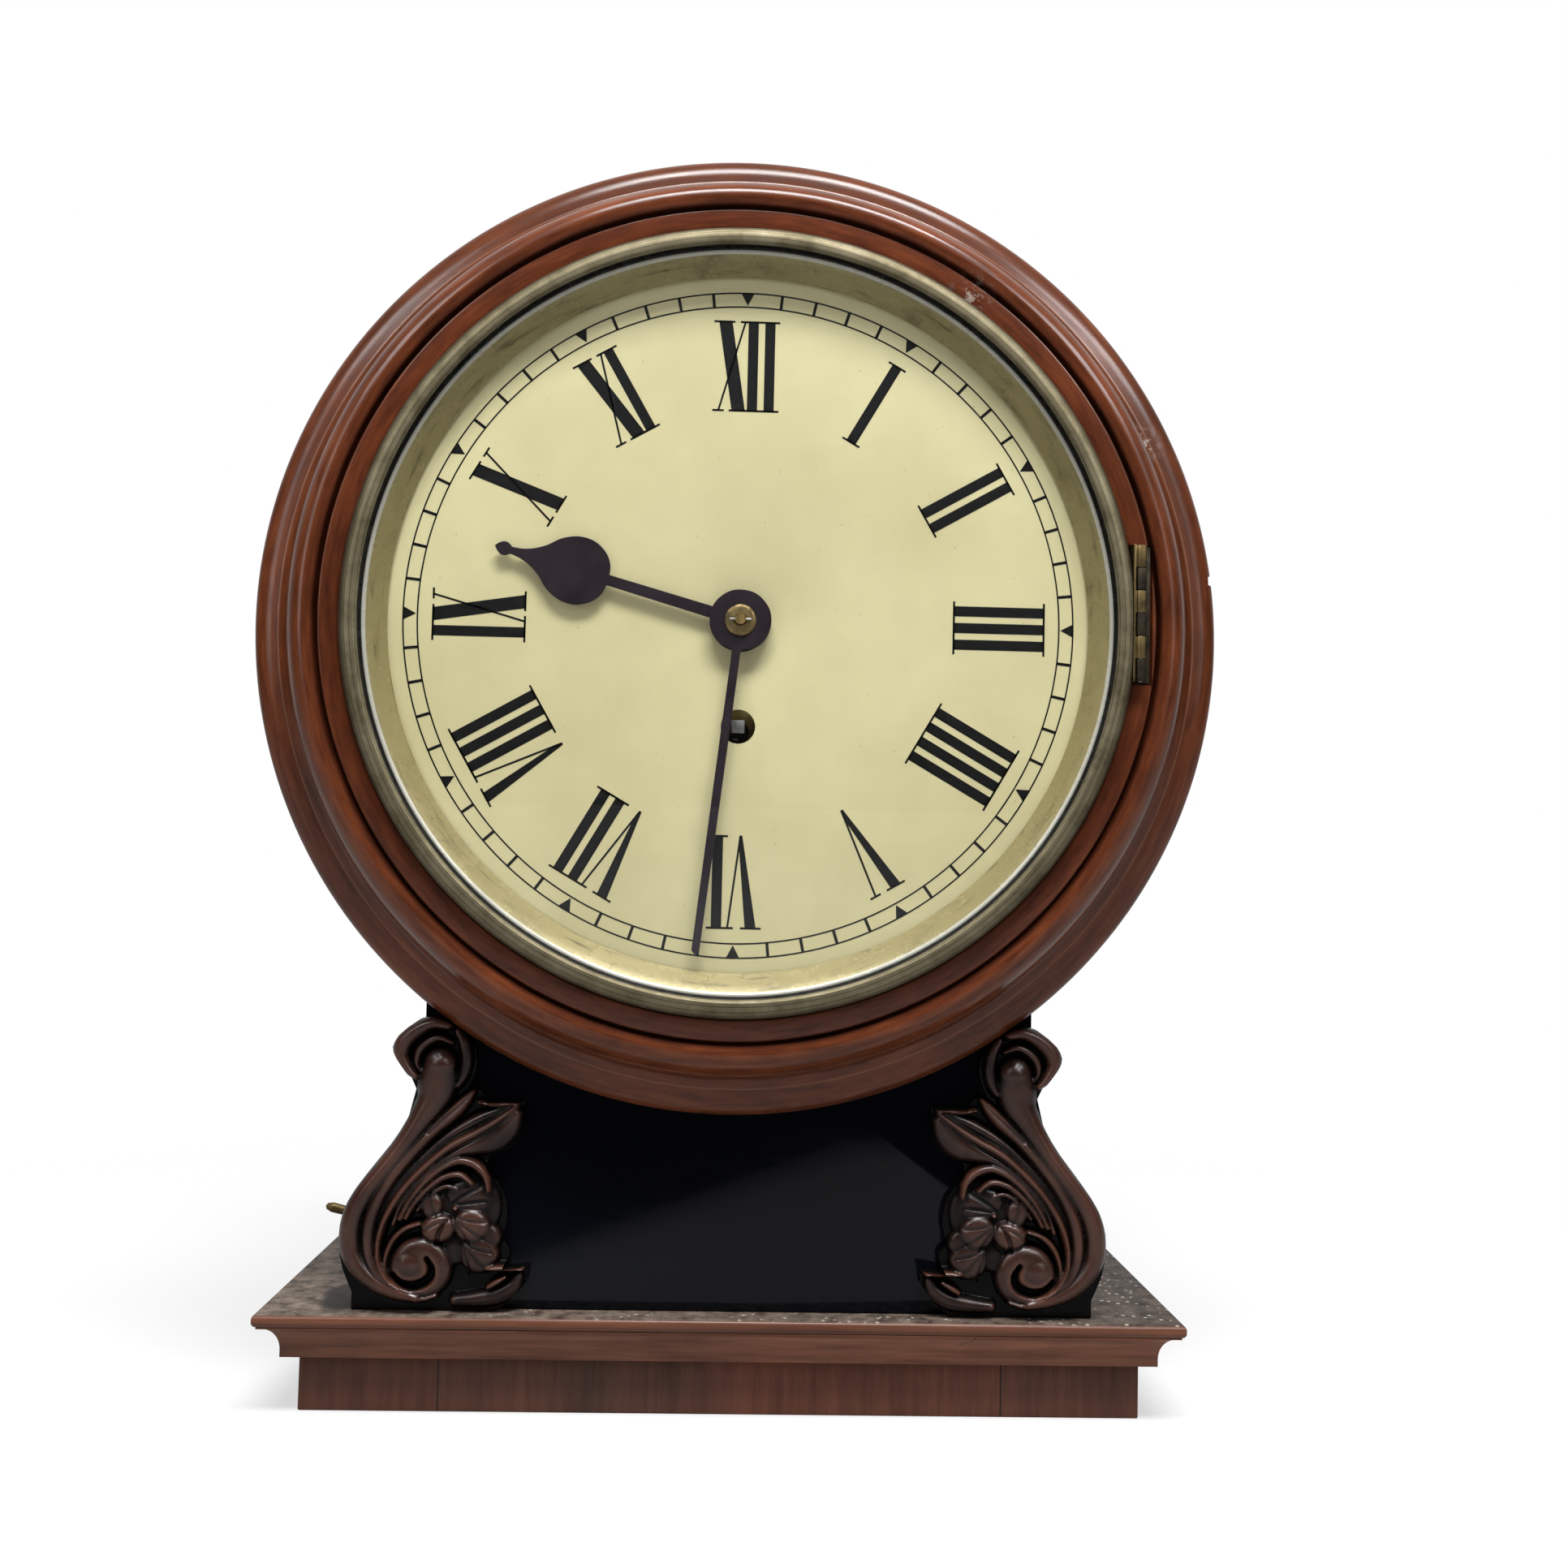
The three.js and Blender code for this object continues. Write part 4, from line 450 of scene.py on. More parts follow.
# Rolls and leaves of the right-hand bracket: height of the crest, and points along it as distance out from
# the middle, height above the table and half the width.
bracket_rolls = [
    (7.7, [
        (85.6, 103.0, 5.4), (86.0, 98.0, 6.3), (86.9, 93.0, 5.2), (90.3, 87.0, 4.1), (94.8, 80.0, 3.5),
        (98.4, 75.0, 3.4), (102.3, 70.0, 3.4), (106.0, 65.0, 3.5), (108.7, 59.8, 3.6), (109.9, 54.0, 3.7),
        (109.3, 48.0, 3.7), (106.4, 43.2, 3.5), (101.8, 39.4, 3.2), (96.0, 36.9, 2.6), (90.0, 35.4, 1.8),
    ]),
    (7.3, [
        (75.2, 95.2, 0.8), (77.4, 92.6, 1.9), (80.4, 89.4, 2.4), (83.6, 86.4, 2.5), (87.2, 83.0, 2.3),
        (91.2, 78.6, 2.3), (95.2, 73.8, 2.4), (98.8, 69.0, 2.5), (101.8, 63.8, 2.6), (103.9, 58.0, 2.7),
        (104.6, 52.0, 2.7), (103.8, 46.5, 2.6), (101.2, 42.0, 2.3), (96.8, 39.0, 1.7), (92.0, 37.2, 1.0),
    ]),
    (5.9, [
        (64.6, 91.0, 1.2), (70.5, 88.4, 2.2), (76.0, 85.6, 2.3), (82.0, 81.9, 2.2), (87.6, 77.2, 2.0),
        (92.4, 72.2, 2.0), (96.6, 66.6, 1.9), (99.8, 60.5, 1.7), (101.4, 55.0, 1.3),
    ]),
    (7.9, [
        (62.4, 91.2, 0.8), (66.4, 88.2, 1.3), (70.2, 85.6, 1.6), (74.6, 83.0, 1.7), (79.0, 80.7, 1.7),
        (82.6, 78.4, 1.7), (86.4, 75.2, 1.6), (90.6, 71.2, 1.6), (94.6, 66.6, 1.6), (98.2, 61.0, 1.5),
        (100.6, 55.6, 1.3), (101.6, 50.0, 1.1), (101.0, 45.0, 1.1), (98.6, 40.6, 0.9), (95.0, 37.8, 0.6),
    ]),
    (6.9, [
        (62.8, 88.8, 2.4), (65.4, 85.0, 4.3), (69.2, 82.0, 4.9), (74.0, 79.6, 3.4), (79.0, 77.6, 2.1),
        (84.0, 74.6, 1.6), (88.4, 71.0, 1.5), (92.4, 66.6, 1.4), (95.6, 61.6, 1.2), (97.4, 56.4, 0.9),
    ]),
    (6.9, [(62.2, 92.0, 0.8), (66.0, 91.8, 1.0), (70.0, 91.6, 1.0), (73.6, 92.2, 0.7)]),
    (7.5, [
        (69.9, 66.5, 1.0), (70.9, 70.8, 1.6), (74.0, 74.0, 1.9), (78.4, 75.2, 1.8), (82.6, 73.6, 1.6),
        (86.6, 70.6, 1.5), (90.2, 66.8, 1.4), (93.2, 62.6, 1.3), (95.4, 58.0, 1.0),
    ]),
    (7.2, [
        (74.6, 68.4, 0.9), (78.4, 71.0, 1.5), (82.8, 70.4, 1.6), (86.4, 68.0, 1.5), (89.4, 65.0, 1.4),
        (92.0, 61.6, 1.2), (93.8, 58.2, 0.9),
    ]),
    (6.4, [
        (78.6, 66.4, 0.9), (82.0, 67.6, 1.3), (85.4, 66.2, 1.3), (88.2, 63.6, 1.2), (90.6, 60.4, 0.9),
    ]),
    (6.9, [
        (89.8, 56.6, 0.9), (93.8, 55.2, 1.2), (97.0, 52.2, 1.2), (99.0, 48.0, 1.2), (99.4, 44.0, 1.1),
        (98.0, 39.8, 1.1), (94.6, 36.4, 1.1), (89.4, 34.9, 1.1), (84.4, 36.0, 0.8),
    ]),
    (7.4, [
        (83.4, 114.4, 1.5), (88.0, 115.0, 2.2), (92.4, 113.0, 2.7), (96.0, 109.6, 3.0),
        (96.8, 105.6, 2.7), (94.8, 102.0, 2.2), (92.2, 99.4, 1.3),
    ]),
    (6.4, [
        (82.0, 109.4, 0.8), (85.8, 110.8, 1.4), (89.0, 109.6, 1.7), (91.6, 106.8, 1.7),
        (92.2, 103.4, 1.2), (91.0, 101.0, 0.7),
    ]),
    (5.8, [
        (80.6, 112.6, 1.3), (78.6, 109.0, 1.9), (77.8, 104.6, 2.1), (78.6, 100.0, 2.0), (80.0, 96.8, 1.1),
    ]),
    (7.5, [(59.4, 44.1, 0.9), (63.0, 44.2, 1.2), (67.0, 44.2, 1.1), (70.2, 43.9, 0.7)]),
    (5.6, [
        (60.4, 41.8, 1.6), (62.4, 38.4, 2.6), (67.0, 35.8, 2.8), (73.0, 34.8, 2.4), (79.0, 34.4, 1.8),
    ]),
    (6.6, [(64.2, 41.6, 0.7), (66.8, 40.0, 1.3), (69.4, 38.4, 0.8)]),
]
# Petals, bud, eye and disc: centre, half width and half height, tilt, crest, and how flat the top is.
bracket_bosses = [
    ((75.8, 61.6), (9.8, 10.4), 0, 5.0, 6), ((75.8, 64.4), (7.6, 5.6), 15, 6.2, 4),
    ((86.2, 61.8), (3.8, 4.6), 10, 6.8, 3), ((79.6, 48.8), (4.6, 4.6), 0, 5.2, 4),
    ((70.4, 53.0), (4.9, 4.6), 30, 5.9, 4), ((72.2, 48.0), (6.2, 6.0), -15, 6.6, 4),
    ((74.6, 56.4), (6.2, 5.6), 25, 7.4, 4), ((84.2, 55.4), (5.8, 4.7), -10, 7.7, 4),
    ((79.4, 61.4), (1.5, 1.5), 0, 7.2, 2), ((89.2, 43.8), (9.6, 9.4), 0, 7.3, 6),
    ((92.2, 45.0), (6.0, 6.0), 0, 8.1, 2), ((85.2, 102.8), (5.2, 5.0), 0, 8.1, 2),
]
# Gouge cuts: how deep, and points along them.
bracket_cuts = [
    (3.6, [
        (87.2, 46.8, 0.7), (85.9, 44.2, 1.2), (86.1, 41.6, 1.5), (88.0, 39.8, 1.7), (91.2, 38.9, 1.6),
        (94.6, 39.8, 1.2), (97.0, 42.0, 0.8),
    ]),
    (0.5, [(78.6, 58.6, 0.4), (74.8, 57.8, 0.7), (70.4, 57.4, 0.8)]),
    (0.5, [(78.4, 57.6, 0.4), (75.0, 55.0, 0.7), (71.4, 52.8, 0.8)]),
    (0.5, [(78.8, 56.8, 0.4), (77.0, 54.0, 0.7), (75.4, 51.0, 0.8)]),
    (1.1, [(81.6, 58.0, 0.4), (83.6, 55.0, 0.8), (84.6, 51.2, 0.9)]),
    (0.5, [(82.2, 58.0, 0.4), (85.6, 56.4, 0.7), (89.2, 54.4, 0.7)]),
    (0.5, [(76.4, 51.0, 0.4), (73.0, 49.6, 0.7), (68.4, 48.6, 0.8)]),
    (0.5, [(76.0, 50.0, 0.4), (73.4, 47.0, 0.7), (70.0, 43.4, 0.8)]),
    (0.5, [(76.4, 49.6, 0.4), (75.6, 46.0, 0.7), (75.0, 42.2, 0.8)]),
    (0.7, [(80.4, 62.6, 0.4), (77.0, 65.0, 0.8), (72.8, 67.4, 0.8)]),
    (0.7, [(80.0, 62.0, 0.4), (75.6, 62.8, 0.8), (70.6, 63.4, 0.8)]),
    (0.5, [(85.2, 58.8, 0.4), (86.2, 62.0, 0.7), (87.0, 65.8, 0.6)]),
    (0.7, [(76.4, 93.8, 0.5), (80.0, 90.2, 0.9), (84.0, 86.6, 0.8), (88.0, 82.8, 0.4)]),
]


def follow(path, steps=14):
    """Close points along a smooth line through a path."""
    points = [path[0], *path, path[-1]]
    for i in range(1, len(points) - 2):
        for j in range(steps):
            t = j / steps
            spot = []
            for a, b, c, d in zip(*points[i - 1 : i + 3]):
                pull, bend = (c - a) / 2, a - 2.5 * b + 2 * c - d / 2
                spot.append(b + pull * t + bend * t**2 + (1.5 * (b - c) + (d - a) / 2) * t**3)
            yield spot
    yield path[-1]


def swell(out, up, path):
    """How far each spot of the bracket lies from a path, as a share of the path's half width there."""
    share = np.full(out.shape, 9.0)
    for x, z, half in follow(path):
        near = np.abs(up - z) < half
        share[near] = np.minimum(share[near], np.hypot(out[near] - x, up[near] - z) / half)
    return np.minimum(share, 1)


def carve(out, up):
    """Height of the carving above the bracket's back."""
    height = np.full(out.shape, bracket_ground)
    for crest, path in bracket_rolls:
        roll = np.sqrt(1 - swell(out, up, path) ** 2)
        height = np.maximum(height, bracket_ground + (crest - bracket_ground) * roll)
    for (x, z), (width, tall), tilt, crest, flat in bracket_bosses:
        lean = radians(tilt)
        across = ((out - x) * cos(lean) + (up - z) * sin(lean)) / width
        along = ((up - z) * cos(lean) - (out - x) * sin(lean)) / tall
        boss = np.sqrt(1 - np.minimum(np.hypot(across, along), 1) ** flat)
        height = np.maximum(height, bracket_ground + (crest - bracket_ground) * boss)
    for depth, path in bracket_cuts:
        height = height - depth * (1 - swell(out, up, path) ** 2)
    return np.maximum(height, bracket_least)


def spots(piece):
    place = np.empty(len(piece.data.vertices) * 3)
    piece.data.vertices.foreach_get("co", place)
    return place.reshape(-1, 3)


def cut(piece, tool, operation="DIFFERENCE"):
    """Cuts a piece with another one, which is used up."""
    saw = piece.modifiers.new("saw", "BOOLEAN")
    saw.operation = operation
    saw.object = tool
    pick(piece)
    ops.object.modifier_apply(modifier=saw.name)
    bpy.data.objects.remove(tool)


plank_size = bracket_high - bracket_low + plank_spare
ops.mesh.primitive_grid_add(
    x_subdivisions=round(plank_size.x / mm / gouge_step),
    y_subdivisions=round(plank_size.z / mm / gouge_step),
    size=1,
    location=(bracket_low + bracket_high) / 2,
    rotation=(pi / 2, 0, 0),
)
bracket_right = bpy.context.object
bracket_right.name = "bracket_right_finished"
bracket_right.scale = (plank_size.x, plank_size.z, 1)
ops.object.transform_apply(location=True, rotation=True, scale=True)
plank = spots(bracket_right)
plank[:, 1] = bracket_back - carve(plank[:, 0] / mm, plank[:, 2] / mm) * mm
bracket_right.data.vertices.foreach_set("co", plank.ravel())
sanding = bracket_right.modifiers.new("sanding", "SMOOTH")
sanding.factor = 0.5
sanding.iterations = 2
ops.object.modifier_apply(modifier=sanding.name)
edit_all()
ops.mesh.quads_convert_to_tris()
ops.mesh.select_mode(type="EDGE")
ops.mesh.select_all(action="DESELECT")
ops.mesh.select_non_manifold()
ops.mesh.extrude_edges_move(TRANSFORM_OT_translate={"value": (0, plank_skirt, 0)})
ops.transform.resize(value=(1, 0, 1), center_override=(0, bracket_back + mm, 0))
ops.mesh.edge_face_add()
ops.mesh.select_mode(type="VERT")
turn_outwards()

sawn = work_up("bracket_right", 0)
saw_line = bracket_back - 2 * mm
edit_all()
ops.mesh.bisect(plane_co=(0, saw_line, 0), plane_no=(0, -1, 0), use_fill=True, clear_outer=True)
ops.object.mode_set(mode="OBJECT")
for corner in sawn.data.vertices:
    corner.select = corner.co.y < saw_line + 0.1 * mm
ops.object.mode_set(mode="EDIT")
ops.transform.translate(value=(0, -saw_reach, 0))
ops.object.mode_set(mode="OBJECT")
cut(bracket_right, sawn, "INTERSECT")
shade(60)

carved = spots(bracket_right)
carved_out, carved_up = carved[:, 0] / mm, carved[:, 2] / mm
around = 0
for i in range(rub_and_shade_ways):
    turn = i * 2 * pi / rub_and_shade_ways
    around += carve(carved_out + rub_and_shade_reach * cos(turn), carved_up + rub_and_shade_reach * sin(turn))
# A value for the colour: high on proud, raised parts, which are rubbed red-brown, and low in creases and on
# the deep ground, which are painted darker as painted shade.
rub = bracket_right.data.attributes.new("rub", "FLOAT", "POINT")
carved_height = (bracket_back - carved[:, 1]) / mm
proud = np.clip(0.5 + (carved_height - around / rub_and_shade_ways) / proud_range, 0, 1)
raised = np.clip((carved_height - bracket_ground) / raised_range, 0, 1)
rub.data.foreach_set("value", proud_weight * proud + (1 - proud_weight) * raised)

bracket_left = set_down("bracket_left_finished", bracket_right.data.copy())
bracket_left.scale.x = -1
ops.object.transform_apply(scale=True)
edit_all()
turn_outwards()

carving = new_finish("rubbed black stain")
carving_place = place_on(carving)
carving_rub_and_shade = add_node(carving.node_tree, "Attribute", {}, attribute_name="rub").outputs["Fac"]
carving_patch = mottle(carving_place, (110, 110, 60))
carving_rub_and_shade = reckon("MULTIPLY_ADD", carving_patch, 0.5, carving_rub_and_shade)
carving_rub_and_shade = reckon("SUBTRACT", carving_rub_and_shade, 0.25)
# Near black where the value is low: painted shade in the creases and on the deep ground.
carving_tone = tones(
    carving_rub_and_shade, (0.34, (0.0024, 0.002, 0.0019)), (0.58, (0.0095, 0.005, 0.004)),
    (0.76, (0.038, 0.0135, 0.008)), (0.95, (0.085, 0.03, 0.0175)),
)
feed("Base Color", carving_tone)
feed("Specular IOR Level", tones(carving_rub_and_shade, (0.4, 0.1), (0.8, 0.45)))
carving_wear = mottle(carving_place, 140.0)
feed("Roughness", tones(carving_wear, (0.35, 0.24), (0.7, 0.38)))
for piece, node in ((bracket_right, "bracket_right"), (bracket_left, "bracket_left")):
    hand_over(piece, carving, "case", "carved_wood", node)

# Drum
# A cylinder of bent and stained wood behind the dial, cut out below for the pendulum, with a ring at the
# back. The round back door has a sunk field, a brass hinge on the right and a turn button on the left.
dial_low, dial_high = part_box("dial_plate")
dial_face = dial_low.y
dial_centre = (dial_low.z + dial_high.z) / 2


def depths(node):
    """Front and back of a solid, in millimetres behind the dial face."""
    return [(corner.y - dial_face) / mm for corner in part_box(node)]


def soften(profile, steps=4):
    """A profile of (radius, depth) points, rounded at those that give a rounding too."""
    smooth = []
    for i, (radius, depth, *rounding) in enumerate(profile):
        here = Vector((radius, depth))
        if not any(rounding):
            smooth.append(here)
            continue
        before = Vector(profile[i - 1][:2]) - here
        after = Vector(profile[(i + 1) % len(profile)][:2]) - here
        start = here + before.normalized() * min(*rounding, before.length / 2)
        end = here + after.normalized() * min(*rounding, after.length / 2)
        for j in range(steps + 1):
            share = j / steps
            smooth.append(start.lerp(here, share).lerp(here.lerp(end, share), share))
    return smooth


def hoop(inner, outer, front, back, *roundings):
    """The square profile of a ring, with a rounding for each corner from the inner front one outwards."""
    corners = ((inner, front), (outer, front), (outer, back), (inner, back))
    return [(*corner, rounding) for corner, rounding in zip(corners, roundings)]


def turn_on_lathe(name, profile, steps=160):
    """Spins a closed profile, with depths behind the dial face, about the dial's axis."""
    section = soften(profile)
    piece = draw(name, [Vector((0, dial_face + y * mm, dial_centre + x * mm)) for x, y in section])
    ops.mesh.spin(steps=steps, angle=2 * pi, center=(0, dial_face, dial_centre), axis=(0, 1, 0))
    ops.mesh.select_all(action="SELECT")
    ops.mesh.remove_doubles(threshold=same_spot)
    turn_outwards()
    ops.object.transform_apply(location=True)
    shade()
    return piece


def saw_out(piece, across, depth, rise):
    """Cuts a square recess, given by its ends each way in millimetres from the middle of the dial face."""
    low, high = (
        Vector((x * mm, dial_face + y * mm, dial_centre + z * mm)) for x, y, z in zip(across, depth, rise)
    )
    ops.mesh.primitive_cube_add(size=1, location=(low + high) / 2)
    waste = bpy.context.object
    waste.scale = high - low
    cut(piece, waste)
    shade()


shell_radius, shell_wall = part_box("drum_shell")[1].x / mm, 7.0
drum_shell = turn_on_lathe(
    "drum_shell_finished",
    hoop(shell_radius - shell_wall, shell_radius, *depths("drum_shell"), 0.4, 0.6, 0.6, 0.4),
)
slot_half, slot_front, slot_back, slot_top, slot_foot = 48.0, 76.8, 110.8, -60.0, -shell_radius - 5
saw_out(drum_shell, (-slot_half, slot_half), (slot_front, slot_back), (slot_foot, slot_top))
bent_wood = stained("bent stained wood", (14, 420, 14), 14.0, (0.026, 0.01, 0.006), (0.085, 0.031, 0.016))
hand_over(drum_shell, bent_wood, "case", "dark_mahogany", "drum_shell")

ring_front, ring_back = depths("drum_back_ring")
door_radius, door_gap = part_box("back_door")[1].x / mm, 0.6
drum_back_ring = turn_on_lathe(
    "drum_back_ring_finished",
    hoop(door_radius + door_gap, shell_radius, ring_front, ring_back, 0.4, 0.5, 1.2, 0.8),
)
hand_over(drum_back_ring, dark_wood, "case", "dark_mahogany", "drum_back_ring")

door_front = depths("back_door")[0]
door_rim, door_sinking, door_slope = 9.0, 2.4, 2.0
field_depth, field_radius = ring_back - door_sinking, door_radius - door_rim
door_profile = [
    (0, door_front), (door_radius, door_front, 0.5), (door_radius, ring_back, 0.8),
    (field_radius, ring_back, 0.6), (field_radius - door_slope, field_depth, 1.2), (0, field_depth),
]
back_door = turn_on_lathe("back_door_finished", door_profile)
hand_over(back_door, dark_wood, "back_door", "dark_mahogany", "back_door")
dress("back_turn_button", old_brass, "back_button", "aged_brass", 0.4, 3)
for node, body in (("back_hinge_fixed_leaf", "case"), ("back_hinge_door_leaf", "back_door")):
    dress(node, old_brass, body, "aged_brass", 0.35, 3)

# Dial surround
# A broad mahogany ring, turned and french polished, with a flat band, a quirk in painted shade, a bold
# ovolo, a hollow between two sharp arrises with painted highlights, and an outer bead. It is notched for the
# bezel's hinge, and its edge has a chip.
surround_steps, ovolo_steps = 240, 19
band_inner, band_front, rebate = 115.0, -5.6, -3.9
seat_inner, seat_back, surround_bore, surround_back = 109.5, -0.3, 112.6, 20.0
ovolo_foot, ovolo_crest, ovolo_edge, second_arris = (123.3, -6.5), (124.8, -7.0), (132.4, 7.0), (137.0, 12.1)
band = [
    (seat_inner, rebate, 0.3), (band_inner, rebate), (band_inner, band_front, 0.5), (121.2, -5.4, 0.6),
    (121.9, -3.9, 0.4), (122.5, -5.2, 0.6), (*ovolo_foot, 0.9),
]
surround_profile = soften(band) + soften([ovolo_foot, (*ovolo_crest, 0.9), (126.2, -6.75)])[1:-1]
for i in range(3, ovolo_steps):
    turn = i / ovolo_steps * pi / 2
    radius = ovolo_crest[0] + (ovolo_edge[0] - ovolo_crest[0]) * sin(turn)
    depth = ovolo_edge[1] - (ovolo_edge[1] - ovolo_crest[1]) * cos(turn)
    surround_profile.append((radius, depth))
hollow_and_bead = [
    (132.3, 6.2), (*ovolo_edge, 0.35), (132.7, 8.6, 0.6), (133.9, 10.5, 1.0), (*second_arris, 0.35),
    (140.4, 12.6, 1.5), (143.2, 13.9, 1.6), (144.9, 15.9, 1.2), (145.2, 17.8, 1.0),
    (144.65, surround_back, 0.5), (surround_bore, surround_back), (surround_bore, seat_back),
    (seat_inner, seat_back),
]
surround_profile += soften(hollow_and_bead)[1:]
dial_surround = turn_on_lathe("dial_surround_finished", surround_profile, surround_steps)
notch_across, notch_front, notch_middle, notch_half = (111.2, 120.0), -20.0, 4.5, 20.6
notch_rise = (notch_middle - notch_half, notch_middle + notch_half)
saw_out(dial_surround, notch_across, (notch_front, rebate), notch_rise)
chip_across, chip_depth, chip_rise = (142.4, 147.0), (11.0, 21.0), (17.6, 20.8)
saw_out(dial_surround, chip_across, chip_depth, chip_rise)


def rings(material, fine_along, fine_across):
    """Streaks that run round the dial, by how fine they are, and the distance from its centre."""
    spot = from_centre(material, (0, 0, dial_centre))
    distance = length(spot)
    tree = spot.id_data
    toward = add_node(tree, "VectorMath", {0: spot}, operation="NORMALIZE").outputs["Vector"]
    along = add_node(tree, "VectorMath", {0: toward, "Scale": fine_along}, operation="SCALE")
    inputs = {axis: part(along.outputs["Vector"], axis) for axis in "XZ"}
    inputs["Y"] = reckon("MULTIPLY", distance, fine_across)
    return mottle(add_node(tree, "CombineXYZ", inputs).outputs["Vector"], 1.0, 5, 0.6), distance


polish = new_finish("french polished mahogany", Specular_IOR_Level=0.32)
polish_lines, polish_distance = rings(polish, 9.0, 520.0)
polish_tone = tones(polish_lines, (0.3, (0.085, 0.021, 0.008)), (0.7, (0.2, 0.055, 0.02)))
polish_age = tones(mottle(place_on(polish), 20.0), (0.34, 0.72), (0.62, 1.1))
polish_tone = times(polish_tone, polish_age)
polish_inner, polish_outer = 110, 146
# Painted shade: darker at the band's inner edge by the bezel, in the quirk and in the hollow, with the ovolo
# painted a little lighter.
painted_groove_shade = tones_along(
    polish_distance, polish_inner, polish_outer, (114.9, (0.5, 0.48, 0.48)), (116.2, (0.85, 0.8, 0.8)),
    (121.0, (0.85, 0.8, 0.8)), (121.5, (0.2, 0.17, 0.17)), (122.3, (0.2, 0.16, 0.16)),
    (123.3, (0.9, 0.85, 0.85)), (128.0, 1.1), (132.0, 1.0), (133.0, (0.7, 0.68, 0.68)), (136.4, 0.9),
)
polish_tone = times(polish_tone, painted_groove_shade)
# Painted highlights: thin light lines along the two arrises.
painted_arris_highlight_stops = ((131.7, 0), (132.1, 0.3), (132.6, 0), (136.5, 0), (136.9, 0.35), (137.4, 0))
painted_arris_highlight = tones_along(polish_distance, polish_inner, polish_outer, *painted_arris_highlight_stops)
polish_tone = over(painted_arris_highlight, polish_tone, (0.36, 0.17, 0.1))
scuff_core, scuff_edge = 1.5 * mm, 4.5 * mm
scuffs = 0.0
for across, rise in ((65.2, 97.8), (121.5, 59.5)):
    scuff_way = length(from_centre(polish, (across * mm, 0, dial_centre + rise * mm)))
    scuffs = reckon("ADD", tones(scuff_way, (scuff_core, 1), (scuff_edge, 0)), scuffs)
flakes = tones(mottle(place_on(polish), 420.0, 4, 0.7), (0.5, 0), (0.56, 0.9))
scuffs = reckon("MULTIPLY", scuffs, flakes)
feed("Base Color", over(scuffs, polish_tone, (0.45, 0.38, 0.33)))
feed("Roughness", tones(polish_lines, (0.3, 0.25), (0.7, 0.17)))
relief(polish_lines, 0.02)
hand_over(dial_surround, polish, "case", "mahogany", "dial_surround")

# Bezel
# A spun brass ring that carries the glass, with the edge filed flat at its hinge. The conical sight ring
# behind the glass is thinner brass, browned in patches, with a painted highlight on its rim and painted
# shade just outside it. Both swing on a six-knuckle hinge.
bezel_radius, bezel_lip, bezel_seat, bezel_foot, glass_seat = 114.7, 108.8, 110.9, -4.2, -8.75
bezel_profile = [
    (bezel_seat, bezel_foot, 0.2), (bezel_seat, glass_seat), (bezel_lip, glass_seat, 0.2),
    (bezel_lip + 0.1, -9.5, 0.3), (bezel_lip + 0.6, -9.6, 0.2), (bezel_lip + 0.9, -10.4, 0.4),
    (111.6, -10.5, 1.2), (113.5, -9.9, 1.2), (114.6, -8.2, 1.2), (bezel_radius, -6.6, 0.6),
    (bezel_radius, bezel_foot, 0.25),
]
bezel = turn_on_lathe("bezel_finished", bezel_profile, surround_steps)
filed_across = (113.2, 130.0)
saw_out(bezel, filed_across, (notch_front, 0), notch_rise)
pale_brass = new_finish("pale lacquered brass", Metallic=0.85)
pale_lines, pale_distance = rings(pale_brass, 6.0, 900.0)
pale_tone = tones(
    mottle(place_on(pale_brass), 90.0, 6, 0.7), (0.3, (0.085, 0.07, 0.036)),
    (0.48, (0.165, 0.14, 0.084)), (0.7, (0.235, 0.203, 0.13)),
)
# The inner lip by the glass is painted near black as painted shade. Further out are fine dark lines round the
# bezel.
lip_shade_stops = ((108.92, 0.03), (109.28, 1), (110.78, 1), (111.02, 0.45), (111.26, 1))
crest_stops = ((112.34, 1), (112.58, 0.4), (112.82, 0.9), (113.9, 0.75))
lip_shade_and_lines = tones_along(pale_distance, 108.5, 114.5, *lip_shade_stops, *crest_stops)
feed("Base Color", times(pale_tone, lip_shade_and_lines))
feed("Roughness", tones(pale_lines, (0.3, 0.44), (0.7, 0.58)))
relief(pale_lines, 0.01)
hand_over(bezel, pale_brass, "bezel", "bezel_brass", "bezel")

sight_outer, sight_head, sight_wall = 110.6, depths("sight_ring")[0], 0.85
sight_profile = [
    (sight_outer, sight_head), (107.7, sight_head, 0.4), (105.6, -4.9, 1.2), (102.0, -1.3, 0.3),
    (101.6, -0.9, 0.15), (102.45, -0.62, 0.15), (106.2, -4.3, 1.0),
    (108.4, sight_head + sight_wall, 0.4), (sight_outer, sight_head + sight_wall),
]
sight_ring = turn_on_lathe("sight_ring_finished", sight_profile, surround_steps)
browned = new_finish("browned sight ring")
browned_lines, browned_distance = rings(browned, 7.0, 700.0)
browned_spots = mottle(place_on(browned), 60.0, 7, 0.72)
browned_tone = tones(
    browned_spots, (0.3, (0.16, 0.125, 0.052)), (0.42, (0.3, 0.25, 0.108)), (0.7, (0.38, 0.325, 0.15)),
)
browned_tone = times(browned_tone, tones(browned_lines, (0.28, 0.45), (0.45, 1)))


def by_rim(*stops):
    return tones_along(browned_distance, 106, 109, *stops)


# A painted highlight: a pale band along the rim, which is also made less metallic.
browned_tone = over(by_rim((106.99, 0), (107.29, 1)), browned_tone, (0.52, 0.51, 0.44))
